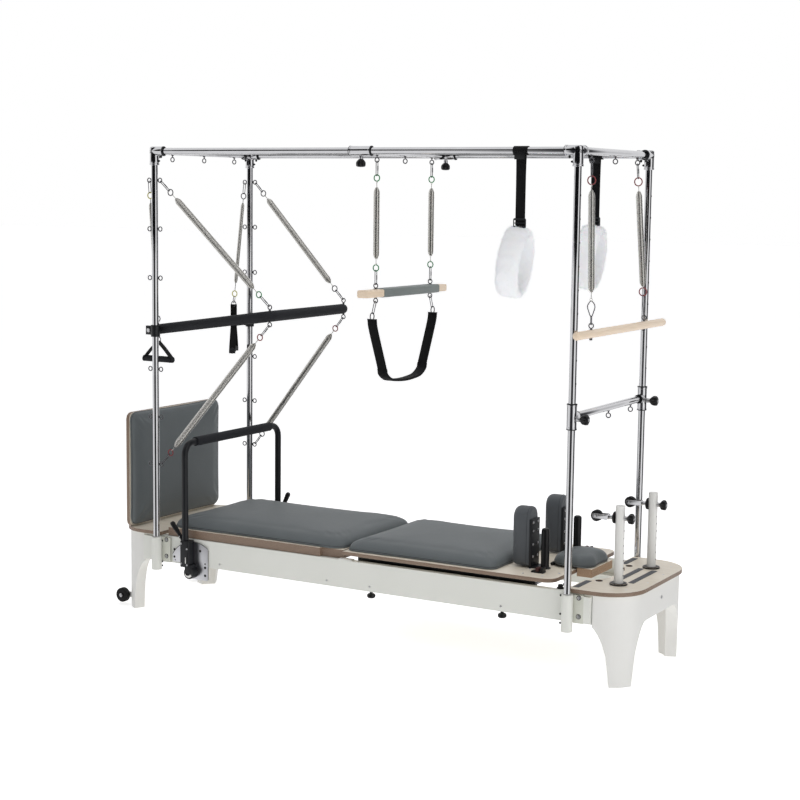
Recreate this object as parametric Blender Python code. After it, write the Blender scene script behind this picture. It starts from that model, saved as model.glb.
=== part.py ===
"""Three-in-one pilates reformer: a carriage bed with a foot bar, jump board, mat and four-post tower.

Metres, +Z up. X runs along the bed with the head end at +X, and the near long side is at -Y.
The origin is on the floor under the middle of the whole object's box. Lengths below are taken from the
middle of the bed, which stands a little to one side of it.
"""
import math

import bmesh
import bpy
import numpy as np
from mathutils import Vector

# Middle of the bed
BED_MIDDLE_X = 0.020
BED_MIDDLE_Y = -0.030

# Base frame
BASE_LENGTH = 2.508
BASE_WIDTH = 0.665
END_UNIT_REACH = 0.154
RAIL_LENGTH = BASE_LENGTH - 2 * END_UNIT_REACH
RAIL_TOP = 0.366
RAIL_HEIGHT = 0.120
RAIL_WALL = 0.030
TRACK_TOP = 0.304
TRACK_WIDTH = 0.035
TRACK_THICK = 0.008
END_CORNER_R = 0.144
END_WALL = 0.010
LEG_DEPTH = 0.050
LEG_LEDGE = 0.012
LEG_SPAN = 0.102
ARCH_RUN = 0.100
PLY = 0.016
PLY_OVERHANG = 0.011
PLATFORM_DEPTH = 0.265
CUT_OUT_R = 0.250
CUT_OUT_DEPTH = 0.080
MEMBER_SIZE = 0.056
MEMBER_HEIGHT = 0.046
MEMBER_INSET = 0.540
MEMBER_X = MEMBER_INSET - BASE_LENGTH / 2

# Tower
POST_INSET = 0.246
POST_SPACING_X = BASE_LENGTH - 2 * POST_INSET
POST_STAND_OFF = 0.0305
POST_SPACING_Y = BASE_WIDTH + 2 * POST_STAND_OFF
POST_FOOT = 0.222
TUBE_R = 0.0145
TOP_AXIS = 2.078
SLEEVE_R = 0.0205
SLEEVE_REACH = 0.051
FITTING_DROP = 0.060
SOCKET_R = 0.023
SOCKET_FOOT = 0.214
SOCKET_RIM = 0.361
EYE_HEIGHTS = (0.694, 0.907, 1.121, 1.525, 1.740, 1.952)
BAR_EYES = (-0.235, 0.0, 0.235)
EYE_R = 0.0095
EYE_WIRE = 0.0025
EYE_STAND = 0.0150

# Carriage
DECK_START = -0.045
DECK_END = 0.930
DECK_BASE = 0.388
DECK_CORNER_R = 0.050
PAD_THICK = 0.052
PAD_CROWN = 0.006
PAD_INSET = 0.012
CARRIAGE_PAD_END = 0.725
WHEEL_R = 0.028
WHEEL_WIDTH = 0.018
AXLE_R = 0.006
AXLE_X = (0.120, 0.700)
BEAM_START = 0.000
BEAM_END = 0.828
BEAM_WIDTH = 0.024
SPRING_BAR_X = (0.060, 0.792)
SPRING_ROWS = (-0.16, -0.06, 0.06, 0.16)
UNDER_SPRING_R = 0.012
SHOULDER_Y = 0.155
SHOULDER_BACK_X = 0.769
SHOULDER_WIDTH = 0.092
SHOULDER_DEPTH = 0.081
SHOULDER_HEIGHT = 0.245
SHOULDER_PLATE = 0.010
PEG_X = 0.816
PEG_Y = 0.160
PEG_R = 0.0168
PEG_HEIGHT = 0.166
CLEAT_Y = 0.240
HEADREST_START = 0.811
HEADREST_END = 1.000
HEADREST_WIDTH = 0.240
HEADREST_THICK = 0.064
HINGE_R = 0.0065
PROP_LENGTH = 0.066
PROP_HEIGHT = 0.036

# Mat, jump board and foot bar
MAT_INSET = 0.279
MAT_START = MAT_INSET - BASE_LENGTH / 2
MAT_END = -0.052
JUMP_INSET = 0.071
JUMP_X = JUMP_INSET - BASE_LENGTH / 2
JUMP_WIDTH = 0.670
JUMP_HEIGHT = 0.525
JUMP_PLY = 0.018
JUMP_PAD = 0.030
TONGUE_WIDTH = 0.060
TONGUE_Y = 0.200
TONGUE_DEPTH = 0.040
FOOTBAR_INSET = 0.409
FOOTBAR_X = FOOTBAR_INSET - BASE_LENGTH / 2
FOOTBAR_TOP = 0.800
FOOTBAR_STAND_OFF = 0.0345
FOOTBAR_SPACING = BASE_WIDTH + 2 * FOOTBAR_STAND_OFF
FOOTBAR_BEND = 0.055
FOOTBAR_GRIP_R = 0.0205
PIVOT_OFFSET = 0.025
PIVOT_X = FOOTBAR_X + PIVOT_OFFSET
PIVOT_Z = 0.220
PIVOT_HUB_R = 0.027
QUADRANT_R = 0.135
QUADRANT_THICK = 0.006

# Risers and transport wheels
RISER_INSET = 0.110
RISER_X = BASE_LENGTH / 2 - RISER_INSET
RISER_SPACING = 0.352
RISER_R = 0.019
RISER_TOP = 0.700
RISER_FOOT = 0.290
RISER_BOLT_Z = 0.650
COLLAR_R = 0.035
COLLAR_HEIGHT = 0.007
TRANSPORT_WHEEL_R = 0.033
TRANSPORT_REACH = 0.018
TRANSPORT_AXLE_X = -BASE_LENGTH / 2 - TRANSPORT_REACH
TRANSPORT_AXLE_Z = 0.044
TRANSPORT_WHEEL_INSET = 0.0545
TRANSPORT_WHEEL_Y = BASE_WIDTH / 2 - TRANSPORT_WHEEL_INSET
TRANSPORT_WHEEL_WIDTH = 0.026

# Tower attachments
PUSH_PIVOT_REACH = 0.042
PUSH_PIVOT_X = -POST_SPACING_X / 2 - PUSH_PIVOT_REACH
PUSH_PIVOT_Z = 1.291
PUSH_ARM = 0.620
PUSH_RISE = math.radians(8.2)
PUSH_SIDE_GAP = 0.0445
PUSH_SPACING = POST_SPACING_Y - 2 * PUSH_SIDE_GAP
PUSH_R = 0.0225
PUSH_BEND = 0.045
PUSH_EYE_INSET = 0.0185
PUSH_EYE_Y = PUSH_SPACING / 2 - PUSH_EYE_INSET
MID_BAR_X = 0.048
MID_SLEEVE = 0.100
TRAPEZE_Z = 1.494
TRAPEZE_LENGTH = 0.680
TRAPEZE_WIDTH = 0.055
TRAPEZE_THICK = 0.032
SLING_HALF = 0.262
SLING_TOP = 1.385
SLING_KNEE = (0.168, 1.150)
SLING_LOW = 1.112
SLING_WIDTH = 0.045
SLING_THICK = 0.006
LOW_BAR_Z = 1.062
LOW_SLEEVE = 0.097
ROLL_BAR_Z = 1.378
ROLL_BAR_R = 0.0165
ROLL_BAR_ENDS = (-0.415, 0.496)
ROLL_EYES = (-0.272, 0.278)
LOOP_X = 0.770
LOOP_TOP = 1.785
LOOP_LOW = 1.512
LOOP_DEPTH = 0.146
LOOP_BAND = 0.100
LOOP_LEAN = math.radians(8)
LOOP_THICK = 0.022
STRAP_WIDTH = 0.040
STRAP_THICK = 0.003
HANDLE_APEX = 1.246
HANDLE_GRIP_Z = 1.158
HANDLE_GRIP = 0.160
HANDLE_GRIP_R = 0.014
PUSH_SPRING_R = 0.0145
SPRING_R = 0.0135

# Clearances
GAP = 0.0003
RUNNING = 0.0005
SLIDE_FIT = 0.0004

# Derived places
HALF_LENGTH = BASE_LENGTH / 2
HALF_WIDTH = BASE_WIDTH / 2
RAIL_LOW = RAIL_TOP - RAIL_HEIGHT
PLATFORM_LOW = RAIL_TOP + GAP
PLATFORM_TOP = PLATFORM_LOW + PLY
POST_X = POST_SPACING_X / 2
POST_Y = POST_SPACING_Y / 2
EYE_REACH = TUBE_R + EYE_STAND
DECK_TOP = DECK_BASE + PLY
AXLE_Z = TRACK_TOP + WHEEL_R + GAP
TRACK_Y = HALF_WIDTH - RAIL_WALL
WHEEL_Y = TRACK_Y - WHEEL_WIDTH / 2 - 0.004
BEAM_Y = WHEEL_Y - WHEEL_WIDTH / 2 - 0.0015 - BEAM_WIDTH / 2
RISER_Y = RISER_SPACING / 2
TOP_INNER = TOP_AXIS - FITTING_DROP
SIDES = {"near": -1, "far": 1}
ENDS = {"foot": -1, "head": 1}


def clear_scene():
    """Removes what a new file holds, so the model starts from nothing."""
    for obj in list(bpy.data.objects):
        bpy.data.objects.remove(obj, do_unlink=True)


def material(name, rgb, roughness, metallic=0.0):
    """A Principled material with one colour."""
    found = bpy.data.materials.get(name)
    if found:
        return found
    mat = bpy.data.materials.new(name)
    mat.use_nodes = True
    shader = mat.node_tree.nodes["Principled BSDF"]
    shader.inputs["Base Color"].default_value = (*rgb, 1.0)
    shader.inputs["Roughness"].default_value = roughness
    shader.inputs["Metallic"].default_value = metallic
    mat.diffuse_color = (*rgb, 1.0)
    return mat


def white_paint():
    """Powder-coated steel and aluminium."""
    return material("white_powder_coat", (0.78, 0.78, 0.75), 0.45)


def polished_steel():
    """Stainless tubes, fittings, springs and rings."""
    return material("polished_stainless", (0.62, 0.62, 0.63), 0.16, 1.0)


def birch_ply():
    """Lacquered birch plywood."""
    return material("birch_plywood", (0.72, 0.60, 0.45), 0.40)


def grey_upholstery():
    """Grey synthetic leather over foam."""
    return material("grey_upholstery", (0.15, 0.165, 0.17), 0.48)


def black_steel():
    """Black powder-coated steel."""
    return material("black_powder_coat", (0.02, 0.02, 0.022), 0.42)


def black_plastic():
    """Moulded knobs and sheaves."""
    return material("black_plastic", (0.015, 0.015, 0.016), 0.38)


def black_foam():
    """Closed-cell foam sleeve."""
    return material("black_foam", (0.02, 0.021, 0.024), 0.75)


def black_webbing():
    """Woven black straps."""
    return material("black_webbing", (0.012, 0.012, 0.012), 0.85)


def white_fleece():
    """Fleece cuffs."""
    return material("white_fleece", (0.75, 0.74, 0.71), 0.95)


def maple():
    """Clear-lacquered maple bars."""
    return material("maple", (0.78, 0.62, 0.45), 0.42)


def black_rubber():
    """Wheel tyres."""
    return material("black_rubber", (0.02, 0.02, 0.02), 0.80)


class Carrier:
    """A body's empty, which stands on its joint's axis and holds its pieces."""

    def __init__(self, name, at, held_by=None):
        self.at = Vector(at)
        self.empty = bpy.data.objects.new(name, None)
        bpy.context.scene.collection.objects.link(self.empty)
        if held_by:
            self.empty.parent = held_by.empty
            self.empty.location = self.at - held_by.at
        else:
            self.empty.location = self.at


def to_mesh(name, shape):
    """A mesh of a closed shape, given as its points and faces, with its faces pointing out."""
    points, faces = shape
    bm = bmesh.new()
    verts = [bm.verts.new(tuple(p)) for p in points]
    for face in faces:
        bm.faces.new([verts[i] for i in face])
    bmesh.ops.recalc_face_normals(bm, faces=bm.faces)
    mesh = bpy.data.meshes.new(name)
    bm.to_mesh(mesh)
    bm.free()
    return mesh


def moved(shape, offset):
    """The shape shifted by an offset."""
    points, faces = shape
    return np.array(points, float) + np.array(offset, float), faces


def place(name, shape, carrier, collection):
    """An object of one shape, held by a carrier."""
    obj = bpy.data.objects.new(name, to_mesh(name, moved(shape, -np.array(carrier.at))))
    collection.objects.link(obj)
    obj.parent = carrier.empty
    return obj


def helpers(name, kind, shapes, carrier):
    """A collection of hidden shapes that a Boolean adds to a piece or cuts from it."""
    group = bpy.data.collections.new(f"{name}_{kind}")
    bpy.context.scene.collection.children.link(group)
    for index, shape in enumerate(shapes):
        obj = place(f"{name}_{kind}_{index}", shape, carrier, group)
        obj.hide_render = True
        obj.display_type = "WIRE"
    return group


def solid(name, shapes, finish, carrier, cuts=()):
    """One closed piece: the first shape joined with the rest, less the cuts."""
    obj = place(name, shapes[0], carrier, bpy.context.scene.collection)
    obj.data.materials.append(finish)
    obj.data.shade_smooth()
    obj.data.set_sharp_from_angle(angle=math.radians(35))
    for kind, group, operation in (("add", shapes[1:], "UNION"), ("cut", cuts, "DIFFERENCE")):
        if group:
            boolean = obj.modifiers.new(kind, "BOOLEAN")
            boolean.operation = operation
            boolean.solver = "EXACT"
            boolean.operand_type = "COLLECTION"
            boolean.collection = helpers(name, kind, group, carrier)
    return obj


def unit(vector):
    """The vector at length one."""
    vector = np.array(vector, float)
    return vector / np.linalg.norm(vector)


def box(low, high):
    """A rectangular block between two corners."""
    (x0, y0, z0), (x1, y1, z1) = low, high
    points = [(x, y, z) for z in (z0, z1) for x, y in ((x0, y0), (x1, y0), (x1, y1), (x0, y1))]
    faces = [(3, 2, 1, 0), (4, 5, 6, 7)] + [(i, (i + 1) % 4, (i + 1) % 4 + 4, i + 4) for i in range(4)]
    return points, faces


def rings_to_faces(count, sides, closed):
    """Faces between rings of points, with end caps on an open run."""
    faces = []
    for i in range(count if closed else count - 1):
        a, b = i * sides, (i + 1) % count * sides
        faces += [(a + j, a + (j + 1) % sides, b + (j + 1) % sides, b + j) for j in range(sides)]
    if not closed:
        faces += [tuple(range(sides)), tuple(range((count - 1) * sides, count * sides))]
    return faces


def lathe(start, axis, profile, sides=12):
    """A turned piece: rings of radius r at heights h along an axis from its start."""
    axis = unit(axis)
    side = unit(np.cross(axis, (0, 0, 1) if abs(axis[2]) < 0.9 else (0, 1, 0)))
    across = np.cross(axis, side)
    turn = (np.arange(sides) + 0.5) * 2 * math.pi / sides
    circle = np.outer(np.cos(turn), side) + np.outer(np.sin(turn), across)
    rings = [np.array(start) + axis * h + circle * r for h, r in profile]
    return np.concatenate(rings), rings_to_faces(len(profile), sides, False)


def rod(start, end, radius, sides=12):
    """A straight round bar between two points."""
    span = np.array(end, float) - np.array(start, float)
    return lathe(start, span, ((0.0, radius), (np.linalg.norm(span), radius)), sides)


def sweep(path, normal, half_across, half_along, sides, closed=False):
    """An oval section carried along a flat path; normal is square to the path's plane."""
    path = np.array(path, float)
    count = len(path)
    if closed:
        tangent = np.roll(path, -1, 0) - np.roll(path, 1, 0)
    else:
        tangent = np.gradient(path, axis=0)
    tangent /= np.linalg.norm(tangent, axis=1)[:, None]
    normal = unit(normal)
    across = np.cross(tangent, normal)
    turn = (np.arange(sides) + 0.5) * 2 * math.pi / sides
    half_across = np.broadcast_to(half_across, count)[:, None, None]
    half_along = np.broadcast_to(half_along, count)[:, None, None]
    rings = (path[:, None] + half_across * np.cos(turn)[None, :, None] * across[:, None]
             + half_along * np.sin(turn)[None, :, None] * normal)
    return rings.reshape(-1, 3), rings_to_faces(count, sides, closed)


def band(path, normal, width, thick, closed=False):
    """A flat strap along a flat path; its width is along the normal."""
    reach = math.sqrt(2)
    return sweep(path, normal, thick / 2 * reach, width / 2 * reach, 4, closed)


def arc(centre, radius, start, end, steps):
    """Points on a circle in a plane, by angle in degrees."""
    angles = np.radians(np.linspace(start, end, steps))
    return [(centre[0] + radius * math.cos(a), centre[1] + radius * math.sin(a)) for a in angles]


def prism(outline, plane, low, high):
    """An outline in the XY, YZ or XZ plane, carried along the third axis."""
    order = {"XY": (0, 1, 2), "YZ": (1, 2, 0), "XZ": (0, 2, 1)}[plane]
    points = np.zeros((2 * len(outline), 3))
    flat = np.array(outline, float)
    count = len(flat)
    for k, level in enumerate((low, high)):
        rows = slice(k * count, (k + 1) * count)
        points[rows, order[0]] = flat[:, 0]
        points[rows, order[1]] = flat[:, 1]
        points[rows, order[2]] = level
    faces = [tuple(range(count)), tuple(range(2 * count - 1, count - 1, -1))]
    faces += [(i, (i + 1) % count, (i + 1) % count + count, i + count) for i in range(count)]
    return points, faces


def torus(centre, normal, radius, wire, steps=7, sides=3):
    """A closed ring of round wire."""
    normal = unit(normal)
    first = unit(np.cross(normal, (0, 0, 1) if abs(normal[2]) < 0.9 else (1, 0, 0)))
    second = np.cross(normal, first)
    turn = (np.arange(steps) + 0.5) * 2 * math.pi / steps
    path = np.array(centre) + radius * (np.outer(np.cos(turn), first) + np.outer(np.sin(turn), second))
    return sweep(path, normal, wire, wire, sides, closed=True)


def eye_bolt(root, direction, reach):
    """A ring on a short shank: the ring's centre is reach away from the tube's axis."""
    centre = np.array(root, float) + unit(direction) * reach
    shank = rod(root, centre - unit(direction) * (EYE_R - EYE_WIRE / 2), EYE_WIRE, 3)
    return [torus(centre, (0, 1, 0), EYE_R, EYE_WIRE), shank]


def stadium(start, end, across, half_width, wire):
    """A long closed link between two points, as wide as two half widths."""
    start, end = np.array(start, float), np.array(end, float)
    along = unit(end - start)
    across = unit(across)
    path = [start + along * half_width + across * half_width * c - along * half_width * s
            for c, s in ((-1, 0), (-0.5, 0.87), (0.5, 0.87), (1, 0))]
    path += [end - along * half_width + across * half_width * c + along * half_width * s
             for c, s in ((1, 0), (0.5, 0.87), (-0.5, 0.87), (-1, 0))]
    return sweep(path, np.cross(along, across), wire, wire, 3, closed=True)


HOOK_IN = 0.0042
CLIP_LENGTH = 0.046
CLIP_HALF = 0.0080
LINK_WIRE = 0.0020
RING_R = 0.0130
RING_WIRE = 0.0025
FUSE = 0.0030
SHANK_R = 0.0030
TAPER = 0.030


def spring_chain(top, bottom, radius, lead_top, lead_bottom):
    """A spring between two eyes: clip, ring, tapered close-wound spring, ring and clip, hooked together.

    The leads are how far the spring's ends stay from the eyes' centres.
    """
    top, bottom = np.array(top, float), np.array(bottom, float)
    span = np.linalg.norm(bottom - top)
    along = (bottom - top) / span
    pieces = []
    for eye, way in ((top, along), (bottom, -along)):
        clip_end = eye + way * (HOOK_IN + CLIP_LENGTH)
        pieces.append(stadium(eye + way * HOOK_IN, clip_end, (0, 1, 0), CLIP_HALF, LINK_WIRE))
        pieces.append(torus(clip_end + way * (RING_R - FUSE), (0, 1, 0), RING_R, RING_WIRE))
    ring_out = HOOK_IN + CLIP_LENGTH + 2 * RING_R - FUSE - RING_WIRE
    profile = [(ring_out, SHANK_R), (lead_top, SHANK_R), (lead_top + 0.3 * TAPER, 0.75 * radius),
               (lead_top + TAPER, radius), (span - lead_bottom - TAPER, radius),
               (span - lead_bottom - 0.3 * TAPER, 0.75 * radius), (span - lead_bottom, SHANK_R),
               (span - ring_out, SHANK_R)]
    return [lathe(top, along, profile, 9)] + pieces


def outline_of_pad(half_u, half_v, corner, pull, side_steps=4, corner_steps=4):
    """A rounded rectangle whose sides draw in by pull between the corners."""
    points = []
    quarters = ((1, -1, -90), (1, 1, 0), (-1, 1, 90), (-1, -1, 180))
    for su, sv, turn in quarters:
        centre = (su * (half_u - corner), sv * (half_v - corner))
        points += arc(centre, corner, turn, turn + 90, corner_steps)
        flat = half_v - corner if turn in (0, 180) else half_u - corner
        straight = half_v - corner if turn in (-90, 90) else half_u - corner
        for step in range(1, side_steps):
            share = step / side_steps
            draw = pull * math.sin(math.pi * share)
            along = straight * (1 - 2 * share)
            if turn == -90:
                points.append((half_u - draw, -along))
            elif turn == 0:
                points.append((along, half_v - draw))
            elif turn == 90:
                points.append((-half_u + draw, along))
            else:
                points.append((-along, -half_v + draw))
        assert flat > 0
    return np.array(points)


def cushion(size_u, size_v, thick, crown, corner, pull):
    """A pad on its local XY plane: flat under, bulging sides drawn in, and a crowned top."""
    outline = outline_of_pad(size_u / 2, size_v / 2, corner, pull)
    half = np.array([size_u / 2, size_v / 2])
    bulge = min(0.012, thick * 0.3)
    layers = [(bulge, 0.0), (bulge * 0.25, thick * 0.22), (0.0, thick * 0.5), (bulge * 0.3, thick * 0.8),
              (bulge * 1.2, thick)]
    rings = [np.c_[outline * (1 - inset / half), np.full(len(outline), z)] for inset, z in layers]
    for share in (0.80, 0.45):
        rings.append(np.c_[outline * share, np.full(len(outline), thick + crown * (1 - share * share))])
    return np.concatenate(rings), rings_to_faces(len(rings), len(outline), False)


def turned(shape, columns, origin):
    """The shape with its local X, Y and Z laid along three given directions from an origin."""
    points, faces = shape
    return np.array(points) @ np.array(columns, float) + np.array(origin, float), faces


def end_unit_wall(end):
    """One end's bent sheet: a U in plan with round corners, arched up between its thick, closed legs."""
    inner_run = HALF_LENGTH - END_CORNER_R - RAIL_LENGTH / 2
    straight = np.linspace(0, inner_run - 0.002, 2)
    quarter = np.linspace(0, math.pi / 2, 15)
    arc_length = END_CORNER_R * math.pi / 2
    face = HALF_WIDTH - END_CORNER_R
    plan = []
    for offset in straight:
        plan.append((offset, RAIL_LENGTH / 2 + GAP + offset, -HALF_WIDTH, 0.0, -1.0))
    for angle in quarter:
        plan.append((inner_run + END_CORNER_R * angle,
                     HALF_LENGTH - END_CORNER_R + END_CORNER_R * math.sin(angle),
                     -face - END_CORNER_R * math.cos(angle), math.sin(angle), -math.cos(angle)))
    after = inner_run + arc_length
    for share in (0.12, 0.3, 1.0):
        plan.append((after + face * share, HALF_LENGTH, -face * (1 - share), 1.0, 0.0))
    leg_middle = inner_run + arc_length / 2
    rings = []
    mirrored = [(s, x, -y, nx, -ny) for s, x, y, nx, ny in plan[-2::-1]]
    for s, x, y, nx, ny in plan + mirrored:
        away = min(max((abs(s - leg_middle) - LEG_SPAN / 2) / ARCH_RUN, 0.0), 1.0)
        low = RAIL_LOW * math.sqrt(1 - (1 - away) ** 2)
        ledge = RAIL_LOW + LEG_LEDGE
        for wall, z in ((0.0, low), (0.0, RAIL_TOP), (END_WALL, RAIL_TOP), (END_WALL, ledge), (LEG_DEPTH, ledge),
                        (LEG_DEPTH, low)):
            rings.append((end * (x - nx * wall), y - ny * wall, z))
    count = len(rings) // 6
    return np.array(rings), rings_to_faces(count, 6, False)


def wheel_brackets():
    """Two lugs on the foot legs, with holes for the transport axle."""
    lugs = []
    for side in (-1, 1):
        inner = side * (TRANSPORT_WHEEL_Y - TRANSPORT_WHEEL_WIDTH / 2 - 0.0120)
        outer = side * (TRANSPORT_WHEEL_Y - TRANSPORT_WHEEL_WIDTH / 2 - 0.0035)
        lugs.append(box((TRANSPORT_AXLE_X - 0.012, min(inner, outer), TRANSPORT_AXLE_Z - 0.012),
                        (TRANSPORT_AXLE_X + 0.042, max(inner, outer), TRANSPORT_AXLE_Z + 0.012)))
    return lugs


def build_end_units(base):
    """The white sheet-steel ends with their legs."""
    axle_hole = rod((TRANSPORT_AXLE_X, -0.3, TRANSPORT_AXLE_Z), (TRANSPORT_AXLE_X, 0.3, TRANSPORT_AXLE_Z),
                    AXLE_R + RUNNING, 12)
    solid("foot_end_unit", [end_unit_wall(-1)] + wheel_brackets(), white_paint(), base, [axle_hole])
    solid("head_end_unit", [end_unit_wall(1)], white_paint(), base)


def quadrant_outline():
    """The foot bar's index plate: a sector about the pivot, cut off at both sides."""
    right, left = PIVOT_X + 0.078, PIVOT_X - 0.116
    first = math.degrees(math.acos(0.078 / QUADRANT_R))
    last = 180 - math.degrees(math.acos(0.116 / QUADRANT_R))
    return ([(right, PIVOT_Z - 0.034)] + arc((PIVOT_X, PIVOT_Z), QUADRANT_R, first, last, 9)
            + [(left, RAIL_LOW + 0.008), (PIVOT_X - 0.055, RAIL_LOW + 0.008), (PIVOT_X - 0.04, PIVOT_Z - 0.034)])


def build_rails(base):
    """The long side rails, each with its track, post sockets and foot bar plate."""
    for name, side in SIDES.items():
        section = [(side * y, z) for y, z in (
            (HALF_WIDTH, RAIL_LOW), (HALF_WIDTH, RAIL_TOP), (TRACK_Y, RAIL_TOP), (TRACK_Y, TRACK_TOP),
            (TRACK_Y - TRACK_WIDTH, TRACK_TOP), (TRACK_Y - TRACK_WIDTH, TRACK_TOP - TRACK_THICK),
            (TRACK_Y, TRACK_TOP - TRACK_THICK), (TRACK_Y, RAIL_LOW))]
        shapes = [prism(section, "YZ", -RAIL_LENGTH / 2, RAIL_LENGTH / 2)]
        inside, face = side * (HALF_WIDTH - 0.002), side * (HALF_WIDTH + QUADRANT_THICK)
        shapes.append(prism(quadrant_outline(), "XZ", min(inside, face), max(inside, face)))
        bores = []
        for end in ENDS.values():
            x, y = end * POST_X, side * POST_Y
            shapes.append(rod((x, y, SOCKET_FOOT), (x, y, SOCKET_RIM), SOCKET_R, 16))
            plate = side * (HALF_WIDTH + 0.012)
            plate_ends = sorted((end * (POST_X - 0.036), end * (RAIL_LENGTH / 2 - 0.003)))
            shapes.append(box((plate_ends[0], min(inside, plate), RAIL_LOW + 0.004),
                              (plate_ends[1], max(inside, plate), SOCKET_RIM - 0.004)))
            bores.append(rod((x, y, POST_FOOT - GAP), (x, y, SOCKET_RIM + 0.01), TUBE_R + SLIDE_FIT, 16))
        solid(f"rail_{name}", shapes, white_paint(), base, bores)


def platform_outline(end, cut_out):
    """A board with round outer corners; the head board has a round bay for the head rest."""
    outer = HALF_LENGTH + PLY_OVERHANG
    half = HALF_WIDTH + PLY_OVERHANG
    corner = END_CORNER_R + PLY_OVERHANG
    inner = outer - PLATFORM_DEPTH
    points = arc((outer - corner, -half + corner), corner, -90, 0, 9)
    points += arc((outer - corner, half - corner), corner, 0, 90, 9)
    points.append((inner, half))
    if cut_out:
        centre = inner + CUT_OUT_DEPTH - CUT_OUT_R
        reach = math.degrees(math.acos((inner - centre) / CUT_OUT_R))
        points += arc((centre, 0.0), CUT_OUT_R, reach, -reach, 13)
    points.append((inner, -half))
    return [(end * x, y) for x, y in points]


def build_platforms(base):
    """The plywood end boards. The foot board has slots for the jump board, the head board riser collars."""
    slots = []
    for side in (-1, 1):
        y = side * TONGUE_Y
        half = TONGUE_WIDTH / 2 + 0.001
        slots.append(box((JUMP_X - JUMP_PLY - RUNNING, y - half, PLATFORM_LOW - 0.01),
                         (JUMP_X + RUNNING, y + half, PLATFORM_TOP + 0.01)))
    board = prism(platform_outline(-1, False), "XY", PLATFORM_LOW, PLATFORM_TOP)
    solid("foot_platform", [board], birch_ply(), base, slots)
    board = prism(platform_outline(1, True), "XY", PLATFORM_LOW, PLATFORM_TOP)
    collars, holes = [], []
    for side in (-1, 1):
        y = side * RISER_Y
        collars.append(rod((RISER_X, y, PLATFORM_TOP - 0.002), (RISER_X, y, PLATFORM_TOP + COLLAR_HEIGHT),
                           COLLAR_R, 16))
        collars.append(rod((RISER_X, y, RAIL_LOW + 0.01), (RISER_X, y, PLATFORM_TOP - 0.001),
                           RISER_R + 0.006, 16))
        holes.append(rod((RISER_X, y, RAIL_LOW), (RISER_X, y, PLATFORM_TOP + 0.02), RISER_R + SLIDE_FIT, 16))
        holes.append(rod((RISER_X - 0.09, y * 0.9, PLATFORM_LOW - 0.01),
                         (RISER_X - 0.09, y * 0.9, PLATFORM_TOP + 0.01), 0.012, 10))
    solid("head_platform", [board] + collars, birch_ply(), base, holes)


def build_cross_member(base):
    """The steel tube between the rails at the foot end, with the hooks that take the carriage springs."""
    high, reach = TRACK_TOP - TRACK_THICK - GAP, TRACK_Y - GAP
    low = high - MEMBER_HEIGHT
    shapes = [box((MEMBER_X - MEMBER_SIZE / 2, -reach, low), (MEMBER_X + MEMBER_SIZE / 2, reach, high))]
    for y in SPRING_ROWS:
        shapes.append(box((MEMBER_X - 0.004, y - 0.012, high - 0.002), (MEMBER_X + 0.004, y + 0.012, high + 0.050)))
    solid("spring_cross_member", shapes, white_paint(), base)


def push_clamp(side):
    """The collar, ear and pivot bolt that carry one arm of the push-through bar."""
    x, y = -POST_X, side * POST_Y
    collar = rod((x, y, PUSH_PIVOT_Z - 0.026), (x, y, PUSH_PIVOT_Z + 0.026), SLEEVE_R, 12)
    ear_out, ear_in = side * (POST_Y - 0.0055), side * (PUSH_SPACING / 2 + PUSH_R + 0.002)
    ear = box((PUSH_PIVOT_X - 0.018, min(ear_out, ear_in), PUSH_PIVOT_Z - 0.020),
              (x, max(ear_out, ear_in), PUSH_PIVOT_Z + 0.020))
    bolt = rod((PUSH_PIVOT_X, side * (POST_Y - 0.008), PUSH_PIVOT_Z),
               (PUSH_PIVOT_X, side * (PUSH_SPACING / 2 - PUSH_R + 0.002), PUSH_PIVOT_Z), AXLE_R, 10)
    return [collar, ear, bolt]


def build_uprights(base):
    """The four posts. The foot pair has eye bolts up both faces and carries the push-through bar."""
    for side_name, side in SIDES.items():
        for end_name, end in ENDS.items():
            x, y = end * POST_X, side * POST_Y
            shapes = [rod((x, y, POST_FOOT), (x, y, TOP_INNER + 0.032), TUBE_R, 16)]
            if end_name == "foot":
                for z in EYE_HEIGHTS:
                    for way in (-1, 1):
                        shapes += eye_bolt((x, y, z), (way, 0, 0), EYE_REACH)
                shapes += push_clamp(side)
            solid(f"upright_{side_name}_{end_name}", shapes, polished_steel(), base)


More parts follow.
